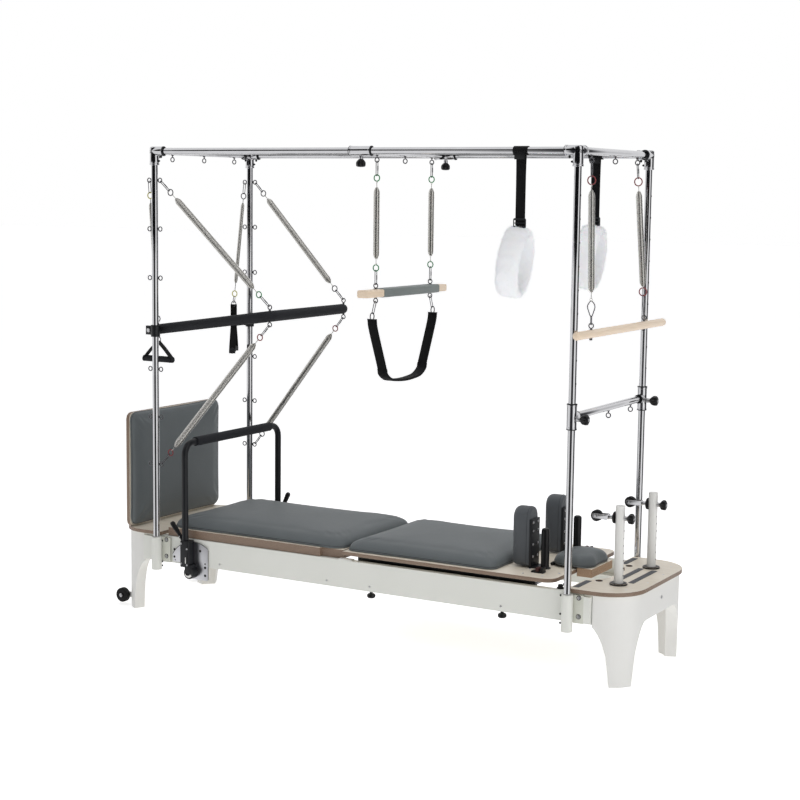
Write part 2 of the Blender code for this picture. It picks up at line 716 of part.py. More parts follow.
def build_top_frame(base):
    """The long top tubes and the two end bars with their three-way corner fittings."""
    reach = POST_X - SLEEVE_REACH + 0.032
    for name, side in SIDES.items():
        y = side * POST_Y
        solid(f"top_rail_{name}", [rod((-reach, y, TOP_AXIS), (reach, y, TOP_AXIS), TUBE_R, 16)],
              polished_steel(), base)
    for name, end in ENDS.items():
        x = end * POST_X
        shapes = [rod((x, -POST_Y, TOP_AXIS), (x, POST_Y, TOP_AXIS), TUBE_R, 16)]
        bores = []
        for side in SIDES.values():
            y = side * POST_Y
            shapes.append(rod((x, y, TOP_INNER), (x, y, TOP_AXIS + SLEEVE_R), SLEEVE_R, 16))
            shapes.append(rod((x, y, TOP_AXIS), (x - end * SLEEVE_REACH, y, TOP_AXIS), SLEEVE_R, 16))
            shapes.append(rod((x, y, TOP_AXIS), (x, y - side * SLEEVE_REACH, TOP_AXIS), SLEEVE_R, 16))
            bores.append(rod((x, y, TOP_INNER - 0.01), (x, y, TOP_INNER + 0.032 + GAP), TUBE_R + SLIDE_FIT, 16))
            bores.append(rod((end * (reach + GAP), y, TOP_AXIS), (x - end * (SLEEVE_REACH + 0.01), y, TOP_AXIS),
                             TUBE_R + SLIDE_FIT, 16))
        for y in BAR_EYES:
            shapes += eye_bolt((x, y, TOP_AXIS), (0, 0, -1), EYE_REACH + 0.004)
        solid(f"top_bar_{name}", shapes, polished_steel(), base, bores)


def build_carriage(base):
    """The sliding carriage: deck, pad, beams, wheel sets and its stowed springs."""
    carriage = Carrier("carriage", (0, 0, TRACK_TOP), base)
    half = HALF_WIDTH
    outline = [(DECK_START, half), (DECK_START, -half)]
    outline += arc((DECK_END - DECK_CORNER_R, -half + DECK_CORNER_R), DECK_CORNER_R, -90, 0, 6)
    outline += arc((DECK_END - DECK_CORNER_R, half - DECK_CORNER_R), DECK_CORNER_R, 0, 90, 6)
    shapes = [prism(outline, "XY", DECK_BASE, DECK_TOP)]
    slots = []
    for side in SIDES.values():
        peg = ((0, PEG_R), (PEG_HEIGHT - 0.010, PEG_R), (PEG_HEIGHT - 0.003, PEG_R * 0.85), (PEG_HEIGHT, PEG_R * 0.5))
        shapes.append(lathe((PEG_X, side * PEG_Y, DECK_TOP - 0.001), (0, 0, 1), peg, 12))
        y = side * CLEAT_Y
        cleat = [(PEG_X - 0.020, DECK_TOP - 0.001), (PEG_X + 0.038, DECK_TOP - 0.001),
                 (PEG_X + 0.034, DECK_TOP + 0.020), (PEG_X - 0.012, DECK_TOP + 0.026)]
        shapes.append(prism(cleat, "XZ", y - 0.017, y + 0.017))
        rest = side * SHOULDER_Y
        slots.append(box((SHOULDER_BACK_X - SHOULDER_PLATE - RUNNING, rest - 0.030 - RUNNING, DECK_BASE - 0.01),
                         (SHOULDER_BACK_X + RUNNING, rest + 0.030 + RUNNING, DECK_TOP + 0.01)))
    solid("carriage_deck", shapes, birch_ply(), carriage, slots)

    pad_start = DECK_START - 0.004
    length = CARRIAGE_PAD_END - 0.055 - pad_start
    pad = cushion(length, 2 * (half - PAD_INSET), PAD_THICK, PAD_CROWN, 0.045, 0.004)
    solid("carriage_pad", [moved(pad, (pad_start + length / 2, 0, DECK_TOP + GAP))], grey_upholstery(), carriage)

    for name, side in SIDES.items():
        y = side * BEAM_Y
        beam = box((BEAM_START, y - BEAM_WIDTH / 2, AXLE_Z - 0.020), (BEAM_END, y + BEAM_WIDTH / 2, DECK_BASE - GAP))
        holes = [rod((x, y - 0.05, AXLE_Z), (x, y + 0.05, AXLE_Z), AXLE_R + RUNNING, 12) for x in AXLE_X]
        solid(f"carriage_beam_{name}", [beam], black_steel(), carriage, holes)

    inner = BEAM_Y - BEAM_WIDTH / 2 - GAP
    low = AXLE_Z + AXLE_R + 0.004
    bars = [box((x - 0.010, -inner, low), (x + 0.010, inner, DECK_BASE - GAP)) for x in SPRING_BAR_X]
    spring_z = low + UNDER_SPRING_R + 0.002
    springs = [rod((SPRING_BAR_X[0], y, spring_z), (SPRING_BAR_X[1], y, spring_z), UNDER_SPRING_R, 10)
               for y in SPRING_ROWS]
    solid("carriage_spring_pack", bars + springs, polished_steel(), carriage)

    for name, x in zip(("foot", "head"), AXLE_X):
        wheelset = Carrier(f"wheelset_{name}", (x, 0, AXLE_Z), carriage)
        edge = WHEEL_Y + WHEEL_WIDTH / 2
        shapes = [rod((x, -edge + 0.001, AXLE_Z), (x, edge - 0.001, AXLE_Z), AXLE_R, 12)]
        for side in SIDES.values():
            shapes.append(rod((x, side * (WHEEL_Y - WHEEL_WIDTH / 2), AXLE_Z), (x, side * edge, AXLE_Z), WHEEL_R, 20))
        solid(f"carriage_wheelset_{name}", shapes, black_plastic(), wheelset)
    return carriage


def build_shoulder_rests(carriage):
    """Lift-out shoulder rests: a padded block on a black plate whose tongue drops through the deck."""
    for name, side in SIDES.items():
        y = side * SHOULDER_Y
        rest = Carrier(f"shoulder_rest_{name}_lift", (SHOULDER_BACK_X, y, DECK_TOP), carriage)
        pad = cushion(SHOULDER_HEIGHT, SHOULDER_WIDTH, SHOULDER_DEPTH, 0.006, 0.038, 0.003)
        low = DECK_TOP + 0.008
        face = SHOULDER_BACK_X - SHOULDER_PLATE + 0.001
        block = turned(pad, ((0, 0, 1), (0, 1, 0), (-1, 0, 0)), (face, y, low + SHOULDER_HEIGHT / 2))
        back = SHOULDER_BACK_X - SHOULDER_PLATE
        plate = box((back, y - 0.040, DECK_TOP + GAP), (SHOULDER_BACK_X, y + 0.040, DECK_TOP + 0.200))
        tongue = box((back, y - 0.030, DECK_BASE - 0.012), (SHOULDER_BACK_X, y + 0.030, DECK_TOP + 0.001))
        solid(f"shoulder_rest_{name}", [block, plate, tongue], grey_upholstery(), rest)


def build_headrest(carriage):
    """The tilting head rest with the wooden prop folded under its head end."""
    hinge_z = DECK_TOP + HINGE_R + RUNNING
    hinge_x = HEADREST_START + HINGE_R
    tilt = Carrier("headrest_tilt", (hinge_x, 0, hinge_z), carriage)
    length = HEADREST_END - HEADREST_START
    pad = cushion(length, HEADREST_WIDTH, HEADREST_THICK, 0.006, 0.040, 0.002)
    base_z = DECK_TOP + 0.008
    barrel = rod((hinge_x, -0.1, hinge_z), (hinge_x, 0.1, hinge_z), HINGE_R, 10)
    block = moved(pad, (HEADREST_START + length / 2, 0, base_z))
    feet = [rod((DECK_END - 0.035, y, DECK_TOP + GAP), (DECK_END - 0.035, y, base_z + 0.004), 0.008, 8)
            for y in (-0.085, 0.085)]
    solid("headrest_pad", [block, barrel] + feet, grey_upholstery(), tilt)
    prop_x = DECK_END + 0.004
    fold = Carrier("headrest_prop_fold", (prop_x + PROP_LENGTH, 0, base_z - 0.004), tilt)
    low = base_z - GAP - PROP_HEIGHT
    prop = box((prop_x, -HEADREST_WIDTH / 2 + 0.012, low), (prop_x + PROP_LENGTH, HEADREST_WIDTH / 2 - 0.012, base_z - GAP))
    solid("headrest_prop", [prop], birch_ply(), fold)


def build_mat(base):
    """The infill mat that fills the foot half of the bed: a pad on a wooden base that rests on the rails."""
    lift = Carrier("mat_lift", ((MAT_START + MAT_END) / 2, 0, RAIL_TOP), base)
    low, high = RAIL_TOP + GAP, DECK_TOP
    full, slim, step = HALF_WIDTH - 0.0075, HALF_WIDTH - 0.0225, MAT_END - 0.110
    outline = [(MAT_START + 0.004, -full), (step, -full), (step, -slim), (MAT_END - 0.002, -slim),
               (MAT_END - 0.002, slim), (step, slim), (step, full), (MAT_START + 0.004, full)]
    solid("infill_base", [prism(outline, "XY", low, high)], birch_ply(), lift)
    length = MAT_END - MAT_START
    pad = cushion(length, 2 * (HALF_WIDTH - PAD_INSET), PAD_THICK, PAD_CROWN, 0.045, 0.004)
    solid("infill_pad", [moved(pad, (MAT_START + length / 2, 0, high + GAP))], grey_upholstery(), lift)


def build_jump_board(base):
    """The padded jump board, which stands in two slots of the foot board."""
    lift = Carrier("jump_board_lift", (JUMP_X, 0, PLATFORM_TOP), base)
    low = PLATFORM_TOP + GAP
    board = [(u, v + low + JUMP_HEIGHT / 2) for u, v in
             outline_of_pad(JUMP_WIDTH / 2, JUMP_HEIGHT / 2, 0.030, 0.0, 2, 4)]
    shapes = [prism(board, "YZ", JUMP_X - JUMP_PLY, JUMP_X)]
    for side in (-1, 1):
        y = side * TONGUE_Y
        shapes.append(box((JUMP_X - JUMP_PLY, y - TONGUE_WIDTH / 2, PLATFORM_TOP - TONGUE_DEPTH),
                          (JUMP_X, y + TONGUE_WIDTH / 2, low + 0.01)))
    solid("jump_board_back", shapes, birch_ply(), lift)
    pad = cushion(JUMP_WIDTH, JUMP_HEIGHT, JUMP_PAD, 0.006, 0.035, 0.004)
    face = turned(pad, ((0, 1, 0), (0, 0, 1), (1, 0, 0)), (JUMP_X + GAP, 0, low + JUMP_HEIGHT / 2))
    solid("jump_board_pad", [face], grey_upholstery(), lift)


def u_path(near, corner_near, corner_far, far, bend, steps):
    """A U through four corners in one plane, with round bends at the two inner ones."""
    points = [np.array(near, float)]
    for before, corner, after in ((near, corner_near, corner_far), (corner_near, corner_far, far)):
        before, corner, after = (np.array(p, float) for p in (before, corner, after))
        back, on = unit(before - corner), unit(after - corner)
        middle = corner + (back + on) * bend
        for angle in np.linspace(0, math.pi / 2, steps):
            points.append(middle - on * bend * math.cos(angle) - back * bend * math.sin(angle))
    return points + [np.array(far, float)]


def build_footbar(base):
    """The foot bar: a U of black tube with a foam grip, a clamp block and a pivot hub at each foot."""
    pivot = Carrier("footbar_pivot", (PIVOT_X, 0, PIVOT_Z), base)
    y = FOOTBAR_SPACING / 2
    path = u_path((FOOTBAR_X, -y, RAIL_LOW + 0.016), (FOOTBAR_X, -y, FOOTBAR_TOP), (FOOTBAR_X, y, FOOTBAR_TOP),
                  (FOOTBAR_X, y, RAIL_LOW + 0.016), FOOTBAR_BEND, 6)
    shapes = [sweep(path, (1, 0, 0), TUBE_R, TUBE_R, 12)]
    grip = y - FOOTBAR_BEND - 0.020
    shapes.append(rod((FOOTBAR_X, -grip, FOOTBAR_TOP), (FOOTBAR_X, grip, FOOTBAR_TOP), FOOTBAR_GRIP_R, 12))
    for side in SIDES.values():
        inner, outer = side * (HALF_WIDTH + QUADRANT_THICK + RUNNING), side * (y + 0.018)
        low, high = min(inner, outer), max(inner, outer)
        shapes.append(box((FOOTBAR_X - 0.017, low, RAIL_LOW + 0.008), (FOOTBAR_X + 0.048, high, RAIL_TOP + 0.002)))
        shapes.append(box((PIVOT_X - 0.018, low, PIVOT_Z), (PIVOT_X + 0.018, high, RAIL_LOW + 0.012)))
        hub_out = side * (y + 0.012)
        shapes.append(rod((PIVOT_X, inner, PIVOT_Z), (PIVOT_X, hub_out, PIVOT_Z), PIVOT_HUB_R, 16))
        lean = 1 if side > 0 else -1
        foot = (FOOTBAR_X + lean * 0.006, side * (y + 0.002), RAIL_TOP - 0.008)
        shapes.append(rod(foot, (FOOTBAR_X + lean * 0.046, side * (y + 0.002), RAIL_TOP + 0.082), 0.008, 8))
    solid("footbar", shapes, black_steel(), pivot)


def build_risers(base):
    """The rope risers with their pulleys and clamp knobs."""
    for name, side in SIDES.items():
        y = side * RISER_Y
        slide = Carrier(f"riser_{name}_slide", (RISER_X, y, PLATFORM_TOP), base)
        post = ((0, RISER_R), (RISER_TOP - RISER_FOOT - 0.004, RISER_R), (RISER_TOP - RISER_FOOT, RISER_R - 0.004))
        solid(f"riser_{name}", [lathe((RISER_X, y, RISER_FOOT), (0, 0, 1), post, 16)], white_paint(), slide)
        face = RISER_X - RISER_R - GAP
        swivel = Carrier(f"riser_pulley_{name}_swivel", (face, y, RISER_BOLT_Z), slide)
        flange = rod((face, y, RISER_BOLT_Z), (face - 0.008, y, RISER_BOLT_Z), 0.024, 14)
        shank = rod((face - 0.006, y, RISER_BOLT_Z), (face - 0.030, y, RISER_BOLT_Z), 0.008, 8)
        fork = box((face - 0.078, y - 0.0135, RISER_BOLT_Z - 0.011), (face - 0.024, y + 0.0135, RISER_BOLT_Z + 0.011))
        wheel_x = face - 0.080
        sheave = lathe((wheel_x, y - 0.011, RISER_BOLT_Z), (0, 1, 0),
                       ((0, 0.0225), (0.004, 0.0225), (0.011, 0.018), (0.018, 0.0225), (0.022, 0.0225)), 14)
        solid(f"riser_pulley_{name}", [flange, shank, fork, sheave], black_plastic(), swivel)
        back = RISER_X + RISER_R + GAP
        turn = Carrier(f"riser_knob_{name}_turn", (back, y, RISER_BOLT_Z), slide)
        knob = ((0, 0.008), (0.012, 0.008), (0.014, 0.018), (0.022, 0.021), (0.034, 0.019), (0.038, 0.012))
        solid(f"riser_knob_{name}", [lathe((back, y, RISER_BOLT_Z), (1, 0, 0), knob, 10)], black_plastic(), turn)


def build_transport_wheels(base):
    """Two rubber wheels on one axle at the foot end, for rolling the tipped bed."""
    spin = Carrier("transport_wheel_spin", (TRANSPORT_AXLE_X, 0, TRANSPORT_AXLE_Z), base)
    x, z = TRANSPORT_AXLE_X, TRANSPORT_AXLE_Z
    end = TRANSPORT_WHEEL_Y + TRANSPORT_WHEEL_WIDTH / 2
    shapes = [rod((x, -end - 0.004, z), (x, end + 0.004, z), AXLE_R, 12)]
    r, w = TRANSPORT_WHEEL_R, TRANSPORT_WHEEL_WIDTH
    for side in SIDES.values():
        tyre = ((0, r - 0.005), (0.004, r), (w - 0.004, r), (w, r - 0.005))
        shapes.append(lathe((x, side * TRANSPORT_WHEEL_Y - w / 2, z), (0, 1, 0), tyre, 16))
    solid("transport_wheels", shapes, black_rubber(), spin)


def build_push_bar(base):
    """The foam-covered push-through bar and its four springs."""
    pivot = Carrier("push_bar_pivot", (PUSH_PIVOT_X, 0, PUSH_PIVOT_Z), base)
    y = PUSH_SPACING / 2
    end_x = PUSH_PIVOT_X + PUSH_ARM * math.cos(PUSH_RISE)
    end_z = PUSH_PIVOT_Z + PUSH_ARM * math.sin(PUSH_RISE)
    path = u_path((PUSH_PIVOT_X - 0.012, -y, PUSH_PIVOT_Z - 0.0017), (end_x, -y, end_z), (end_x, y, end_z),
                  (PUSH_PIVOT_X - 0.012, y, PUSH_PIVOT_Z - 0.0017), PUSH_BEND, 5)
    across = (-math.sin(PUSH_RISE), 0, math.cos(PUSH_RISE))
    shapes = [sweep(path, across, PUSH_R, PUSH_R, 12)]
    reach = PUSH_R + EYE_STAND
    for side in SIDES.values():
        for way in (-1, 1):
            shapes += eye_bolt((end_x - 0.004, side * PUSH_EYE_Y, end_z), (0, 0, way), reach)
    hole = [rod((PUSH_PIVOT_X, side * 0.2, PUSH_PIVOT_Z), (PUSH_PIVOT_X, side * 0.4, PUSH_PIVOT_Z),
                AXLE_R + RUNNING, 12) for side in SIDES.values()]
    solid("push_bar", shapes, black_foam(), pivot, hole)
    for name, side in SIDES.items():
        for level, post_eye, way in (("upper", EYE_HEIGHTS[-1], 1), ("lower", EYE_HEIGHTS[0], -1)):
            post = (-POST_X + EYE_REACH, side * POST_Y, post_eye)
            bar = (end_x - 0.004, side * PUSH_EYE_Y, end_z + way * reach)
            chain = spring_chain(post, bar, PUSH_SPRING_R, 0.118 if way > 0 else 0.108, 0.108)
            solid(f"push_spring_{name}_{level}", chain, polished_steel(), pivot)


def cross_bar(name, sleeve_axis, centre, sleeve_length, eyes, carrier):
    """A tube between two sleeves that slide on a pair of parallel tubes, with eye bolts under it."""
    x, z = centre
    along = np.array(sleeve_axis, float)
    shapes = [rod((x, -POST_Y, z), (x, POST_Y, z), TUBE_R, 16)]
    bores = []
    for side in SIDES.values():
        middle = np.array((x, side * POST_Y, z))
        shapes.append(rod(middle - along * sleeve_length / 2, middle + along * sleeve_length / 2, SLEEVE_R, 16))
        bores.append(rod(middle - along * sleeve_length, middle + along * sleeve_length, TUBE_R + SLIDE_FIT, 16))
    for y in eyes:
        shapes += eye_bolt((x, y, z), (0, 0, -1), EYE_REACH + 0.004)
    return solid(name, shapes, polished_steel(), carrier, bores)


KNOB_PROFILE = ((0, 0.006), (0.016, 0.006), (0.019, 0.013), (0.029, 0.020), (0.044, 0.020), (0.049, 0.015))


def build_mid_bar(base):
    """The sliding cross bar with its clamp knobs, and the trapeze that hangs from it."""
    slide = Carrier("mid_bar_slide", (MID_BAR_X, 0, TOP_AXIS), base)
    cross_bar("mid_cross_bar", (1, 0, 0), (MID_BAR_X, TOP_AXIS), MID_SLEEVE, BAR_EYES, slide)
    for name, side in SIDES.items():
        root = (MID_BAR_X, side * POST_Y, TOP_AXIS - SLEEVE_R - GAP)
        turn = Carrier(f"mid_knob_{name}_turn", root, slide)
        solid(f"mid_knob_{name}", [lathe(root, (0, 0, -1), KNOB_PROFILE, 10)], black_plastic(), turn)

    eye_z = TOP_AXIS - EYE_REACH - 0.004
    swing = Carrier("trapeze_swing", (MID_BAR_X, 0, eye_z), slide)
    low, high = TRAPEZE_Z - TRAPEZE_THICK / 2, TRAPEZE_Z + TRAPEZE_THICK / 2
    half = TRAPEZE_LENGTH / 2
    bar = box((MID_BAR_X - TRAPEZE_WIDTH / 2, -half, low), (MID_BAR_X + TRAPEZE_WIDTH / 2, half, high))
    shapes = [bar]
    for y in (BAR_EYES[0], BAR_EYES[2]):
        reach = TRAPEZE_THICK / 2 + EYE_STAND
        shapes += eye_bolt((MID_BAR_X, y, TRAPEZE_Z), (0, 0, 1), reach)
        shapes += eye_bolt((MID_BAR_X, y, TRAPEZE_Z), (0, 0, -1), reach)
    solid("trapeze_bar", shapes, maple(), swing)
    for name, y in zip(SIDES, (BAR_EYES[0], BAR_EYES[2])):
        top = (MID_BAR_X, y, eye_z)
        bottom = (MID_BAR_X, y, TRAPEZE_Z + TRAPEZE_THICK / 2 + EYE_STAND)
        solid(f"trapeze_spring_{name}", spring_chain(top, bottom, SPRING_R, 0.118, 0.112), polished_steel(), swing)
    build_sling(swing)


def build_sling(swing):
    """The black strap sling under the trapeze bar, hung on a clip and ring at each end."""
    sling = Carrier("sling_swing", (MID_BAR_X, 0, TRAPEZE_Z - TRAPEZE_THICK / 2 - EYE_STAND), swing)
    eye_z = TRAPEZE_Z - TRAPEZE_THICK / 2 - EYE_STAND
    half_path = [(SLING_HALF, SLING_TOP), (SLING_HALF - 0.012, SLING_TOP - 0.045), (SLING_KNEE[0] + 0.010, SLING_KNEE[1] + 0.030),
                 SLING_KNEE, (0.125, SLING_KNEE[1] - 0.026), (0.065, SLING_LOW + 0.003)]
    path = [(MID_BAR_X, -y, z) for y, z in half_path] + [(MID_BAR_X, 0, SLING_LOW)]
    path += [(MID_BAR_X, y, z) for y, z in half_path[::-1]]
    shapes = [band(path, (1, 0, 0), SLING_WIDTH, SLING_THICK)]
    for side, y in ((-1, BAR_EYES[0]), (1, BAR_EYES[2])):
        eye = np.array((MID_BAR_X, y, eye_z))
        ring = np.array((MID_BAR_X, side * SLING_HALF, SLING_TOP + 0.010))
        way = unit(ring - eye)
        clip_end = ring - way * (RING_R - FUSE)
        hook = eye + way * 0.6 * HOOK_IN
        shapes.append(stadium(hook, clip_end, (0, 1, 0) - way * way[1], 1.6 * CLIP_HALF, LINK_WIRE))
        shapes.append(torus(ring, (1, 0, 0), RING_R, RING_WIRE))
    solid("foot_sling", shapes, black_webbing(), sling)


def build_low_bar(base):
    """The height-adjusting cross bar on the head uprights, with its clamp knobs."""
    slide = Carrier("low_bar_slide", (POST_X, 0, LOW_BAR_Z), base)
    cross_bar("low_cross_bar", (0, 0, 1), (POST_X, LOW_BAR_Z), LOW_SLEEVE, BAR_EYES, slide)
    for name, side in SIDES.items():
        root = (POST_X + SLEEVE_R + GAP, side * POST_Y, LOW_BAR_Z - 0.008)
        turn = Carrier(f"low_knob_{name}_turn", root, slide)
        solid(f"low_knob_{name}", [lathe(root, (1, 0, 0), KNOB_PROFILE, 10)], black_plastic(), turn)


def build_roll_bar(base):
    """The maple roll-down bar on its two springs; it hangs against the head uprights' outer faces."""
    eye_z = TOP_AXIS - EYE_REACH - 0.004
    swing = Carrier("roll_bar_swing", (POST_X, 0, eye_z), base)
    x = POST_X + TUBE_R + ROLL_BAR_R + SLIDE_FIT
    r = ROLL_BAR_R
    profile = ((0, r - 0.003), (0.003, r), (ROLL_BAR_ENDS[1] - ROLL_BAR_ENDS[0] - 0.003, r),
               (ROLL_BAR_ENDS[1] - ROLL_BAR_ENDS[0], r - 0.003))
    shapes = [lathe((x, ROLL_BAR_ENDS[0], ROLL_BAR_Z), (0, 1, 0), profile, 14)]
    for y in ROLL_EYES:
        shapes += eye_bolt((x, y, ROLL_BAR_Z), (0, 0, 1), r + EYE_STAND)
    solid("roll_down_bar", shapes, maple(), swing)
    for name, top_y, low_y in zip(SIDES, (BAR_EYES[0], BAR_EYES[2]), ROLL_EYES):
        chain = spring_chain((POST_X, top_y, eye_z), (x, low_y, ROLL_BAR_Z + r + EYE_STAND), SPRING_R, 0.118, 0.152)
        solid(f"roll_spring_{name}", chain, polished_steel(), swing)


def build_loops(base):
    """The fleece-lined loops that hang on webbing from the long top tubes."""
    for name, side in SIDES.items():
        y = side * POST_Y
        swing = Carrier(f"fleece_loop_{name}_swing", (LOOP_X, y, TOP_AXIS), base)
        inner = TUBE_R + SLIDE_FIT + STRAP_THICK / 2
        turn = arc((y, TOP_AXIS), inner, 0, 360, 17)[:-1]
        wrap = band([(LOOP_X, b, c) for b, c in turn], (1, 0, 0), STRAP_WIDTH, STRAP_THICK, closed=True)
        strap = box((LOOP_X - STRAP_WIDTH / 2, y - 0.003, LOOP_TOP - 0.012),
                    (LOOP_X + STRAP_WIDTH / 2, y + 0.003, TOP_AXIS - inner))
        buckle = box((LOOP_X - 0.026, y - 0.007, LOOP_TOP - 0.004), (LOOP_X + 0.026, y + 0.007, LOOP_TOP + 0.034))
        tall = (LOOP_TOP - LOOP_LOW - LOOP_THICK) / 2
        wide = (LOOP_DEPTH - LOOP_THICK) / 2
        ring = []
        for a in np.linspace(0, 2 * math.pi, 19)[:-1]:
            swell = 1 - 0.30 * max(math.sin(a), 0.0) ** 2
            drop = LOOP_THICK / 2 + tall * (1 - math.sin(a))
            ring.append((LOOP_X - drop * math.sin(LOOP_LEAN), y + wide * math.cos(a) * swell,
                         LOOP_TOP - drop * math.cos(LOOP_LEAN)))
        along = (math.cos(LOOP_LEAN), 0, -math.sin(LOOP_LEAN))
        cuff = sweep(ring, along, LOOP_THICK / 2, LOOP_BAND / 2, 8, closed=True)
        solid(f"fleece_loop_{name}", [cuff, strap, buckle, wrap], white_fleece(), swing)


def build_handles(base):
    """The hand straps on the foot uprights' outer eyes: each leans on the push bar's inner face."""
    for name, side in SIDES.items():
        eye = np.array((-POST_X - EYE_REACH, side * POST_Y, EYE_HEIGHTS[-1]))
        swing = Carrier(f"hand_strap_{name}_swing", eye, base)
        arm_face = PUSH_SPACING / 2 - PUSH_R
        apex = np.array((eye[0] - 0.010, side * (arm_face - SHANK_R - RUNNING), PUSH_PIVOT_Z))
        span = np.linalg.norm(apex - eye)
        down = (apex - eye) / span
        clip_end = eye + down * (HOOK_IN + CLIP_LENGTH)
        ring_out = HOOK_IN + CLIP_LENGTH + 2 * RING_R - FUSE - RING_WIRE
        profile = [(ring_out, SHANK_R), (0.112, SHANK_R), (0.120, 0.0085), (0.140, 0.0095), (span - 0.140, 0.0095),
                   (span - 0.120, 0.0085), (span - 0.110, SHANK_R), (span, SHANK_R)]
        shapes = [lathe(eye, down, profile, 9)]
        shapes.append(stadium(eye + down * HOOK_IN, clip_end, (0, 1, 0), CLIP_HALF, LINK_WIRE))
        shapes.append(torus(clip_end + down * (RING_R - FUSE), (0, 1, 0), RING_R, RING_WIRE))
        shapes.append(rod(apex - down * 0.002, (apex[0], apex[1], HANDLE_APEX - 0.004), SHANK_R, 6))
        turn = math.radians(90 if side < 0 else 30)
        spread = np.array((-math.sin(turn), math.cos(turn), 0)) * HANDLE_GRIP / 2
        top = np.array((apex[0], apex[1], HANDLE_APEX))
        grip = np.array((apex[0], apex[1], HANDLE_GRIP_Z))
        web = unit(np.cross(spread, (0, 0, 1)))
        for way in (-1, 1):
            leg = [top - way * spread * 0.06 + (0, 0, 0.006), grip + way * spread]
            shapes.append(band(leg, web, 0.030, 0.004))
        shapes.append(rod(grip - spread * 1.06, grip + spread * 1.06, HANDLE_GRIP_R, 10))
        solid(f"hand_strap_{name}", shapes, black_webbing(), swing)


def main():
    clear_scene()
    base = Carrier("base_frame", (0, 0, 0))
    base.empty.location = (BED_MIDDLE_X, BED_MIDDLE_Y, 0)
    build_end_units(base)
    build_rails(base)
    build_platforms(base)
    build_cross_member(base)
    build_uprights(base)
    build_top_frame(base)
    carriage = build_carriage(base)
    build_shoulder_rests(carriage)
    build_headrest(carriage)
    build_mat(base)
    build_jump_board(base)
    build_footbar(base)
    build_risers(base)
    build_transport_wheels(base)
    build_push_bar(base)
    build_mid_bar(base)
    build_low_bar(base)
    build_roll_bar(base)
    build_loops(base)
    build_handles(base)


main()
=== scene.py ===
"""The looks of the three-in-one reformer: its skins, finishes, upholstery, springs, light and camera."""

import math

import bmesh
import bpy
import numpy as np
from mathutils import Matrix, Vector
from mathutils.bvhtree import BVHTree


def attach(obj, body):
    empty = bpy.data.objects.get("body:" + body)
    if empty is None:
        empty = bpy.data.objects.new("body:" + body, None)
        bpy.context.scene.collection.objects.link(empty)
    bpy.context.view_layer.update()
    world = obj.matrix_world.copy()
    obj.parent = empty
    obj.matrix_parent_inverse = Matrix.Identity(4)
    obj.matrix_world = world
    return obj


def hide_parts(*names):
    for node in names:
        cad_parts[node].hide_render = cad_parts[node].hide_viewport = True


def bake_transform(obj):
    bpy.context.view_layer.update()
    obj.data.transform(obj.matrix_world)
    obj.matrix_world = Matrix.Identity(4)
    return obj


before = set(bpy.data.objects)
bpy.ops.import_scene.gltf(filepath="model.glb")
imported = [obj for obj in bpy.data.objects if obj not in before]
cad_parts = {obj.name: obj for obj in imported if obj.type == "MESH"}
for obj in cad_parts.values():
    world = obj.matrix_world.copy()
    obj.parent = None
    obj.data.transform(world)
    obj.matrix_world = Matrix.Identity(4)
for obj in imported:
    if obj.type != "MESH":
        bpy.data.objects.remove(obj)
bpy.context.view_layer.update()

# The middle of the bed in the row frame: every shape below is measured from it, in metres.
MIDDLE = np.array((0.020, -0.030, 0.0))
X, Y, Z, DOWN = (1, 0, 0), (0, 1, 0), (0, 0, 1), (0, 0, -1)
SIDES = {"near": -1, "far": 1}
ENDS = {"foot": -1, "head": 1}
# The bed: half its length and width, the rails' edges, the end boards' and the deck's faces, the pads' width,
# thickness and most swell, and the height of the wheels' axles.
HALF_LENGTH, HALF_WIDTH = 1.254, 0.3325
RAIL_LOW, RAIL_TOP = 0.246, 0.366
BOARD_TOP = 0.3823
DECK_BASE, DECK_TOP = 0.388, 0.404
PAD_WIDTH, PAD_THICK, SWELL = 0.641, 0.052, 0.005
AXLE_Z = 0.3323
# The tower: its posts, tubes, sleeves and eye bolts, where bars hang, and how far a snap link reaches.
POST_X, POST_Y, TOP_AXIS = 1.008, 0.363, 2.078
TUBE_R, SLEEVE_R = 0.0145, 0.0205
EYE_HEIGHTS = (0.694, 0.907, 1.121, 1.525, 1.740, 1.952)
EYE_REACH, BAR_EYE_REACH = 0.0295, 0.0335
HANG_Y = 0.235
LINK_REACH = 0.0650
# The moving parts: mid bar, trapeze, low bar, roll-down bar, push-through bar, rope risers and foot bar.
MID_X, TRAPEZE_Z, LOW_Z = 0.048, 1.494, 1.062
ROLL_Z, ROLL_R, ROLL_EYES = 1.378, 0.0165, (-0.272, 0.278)
PUSH_X, PUSH_Y, PUSH_Z, PUSH_R = -1.050, 0.3185, 1.291, 0.0225
RISER_X, RISER_Y = 1.144, 0.176
PIVOT, FOOT_BAR_X, FOOT_BAR_TOP = (-0.820, 0.220), -0.845, 0.800
# A hair of air between faces that would otherwise share a plane, and the sky's strength at horizon and zenith.
GAP = 0.0003
SKY_LOW, SKY_HIGH = 0.20, 0.50


def linear(code):
    """An sRGB hex colour as linear RGBA."""
    parts = [int(code[i:i + 2], 16) / 255 for i in (1, 3, 5)]
    return [c / 12.92 if c <= 0.04045 else ((c + 0.055) / 1.055) ** 2.4 for c in parts] + [1.0]


def output_of(source):
    """The socket that a source stands for: of a node, its Fac output, or else its first."""
    return (source.outputs.get("Fac") or source.outputs[0]) if isinstance(source, bpy.types.Node) else source


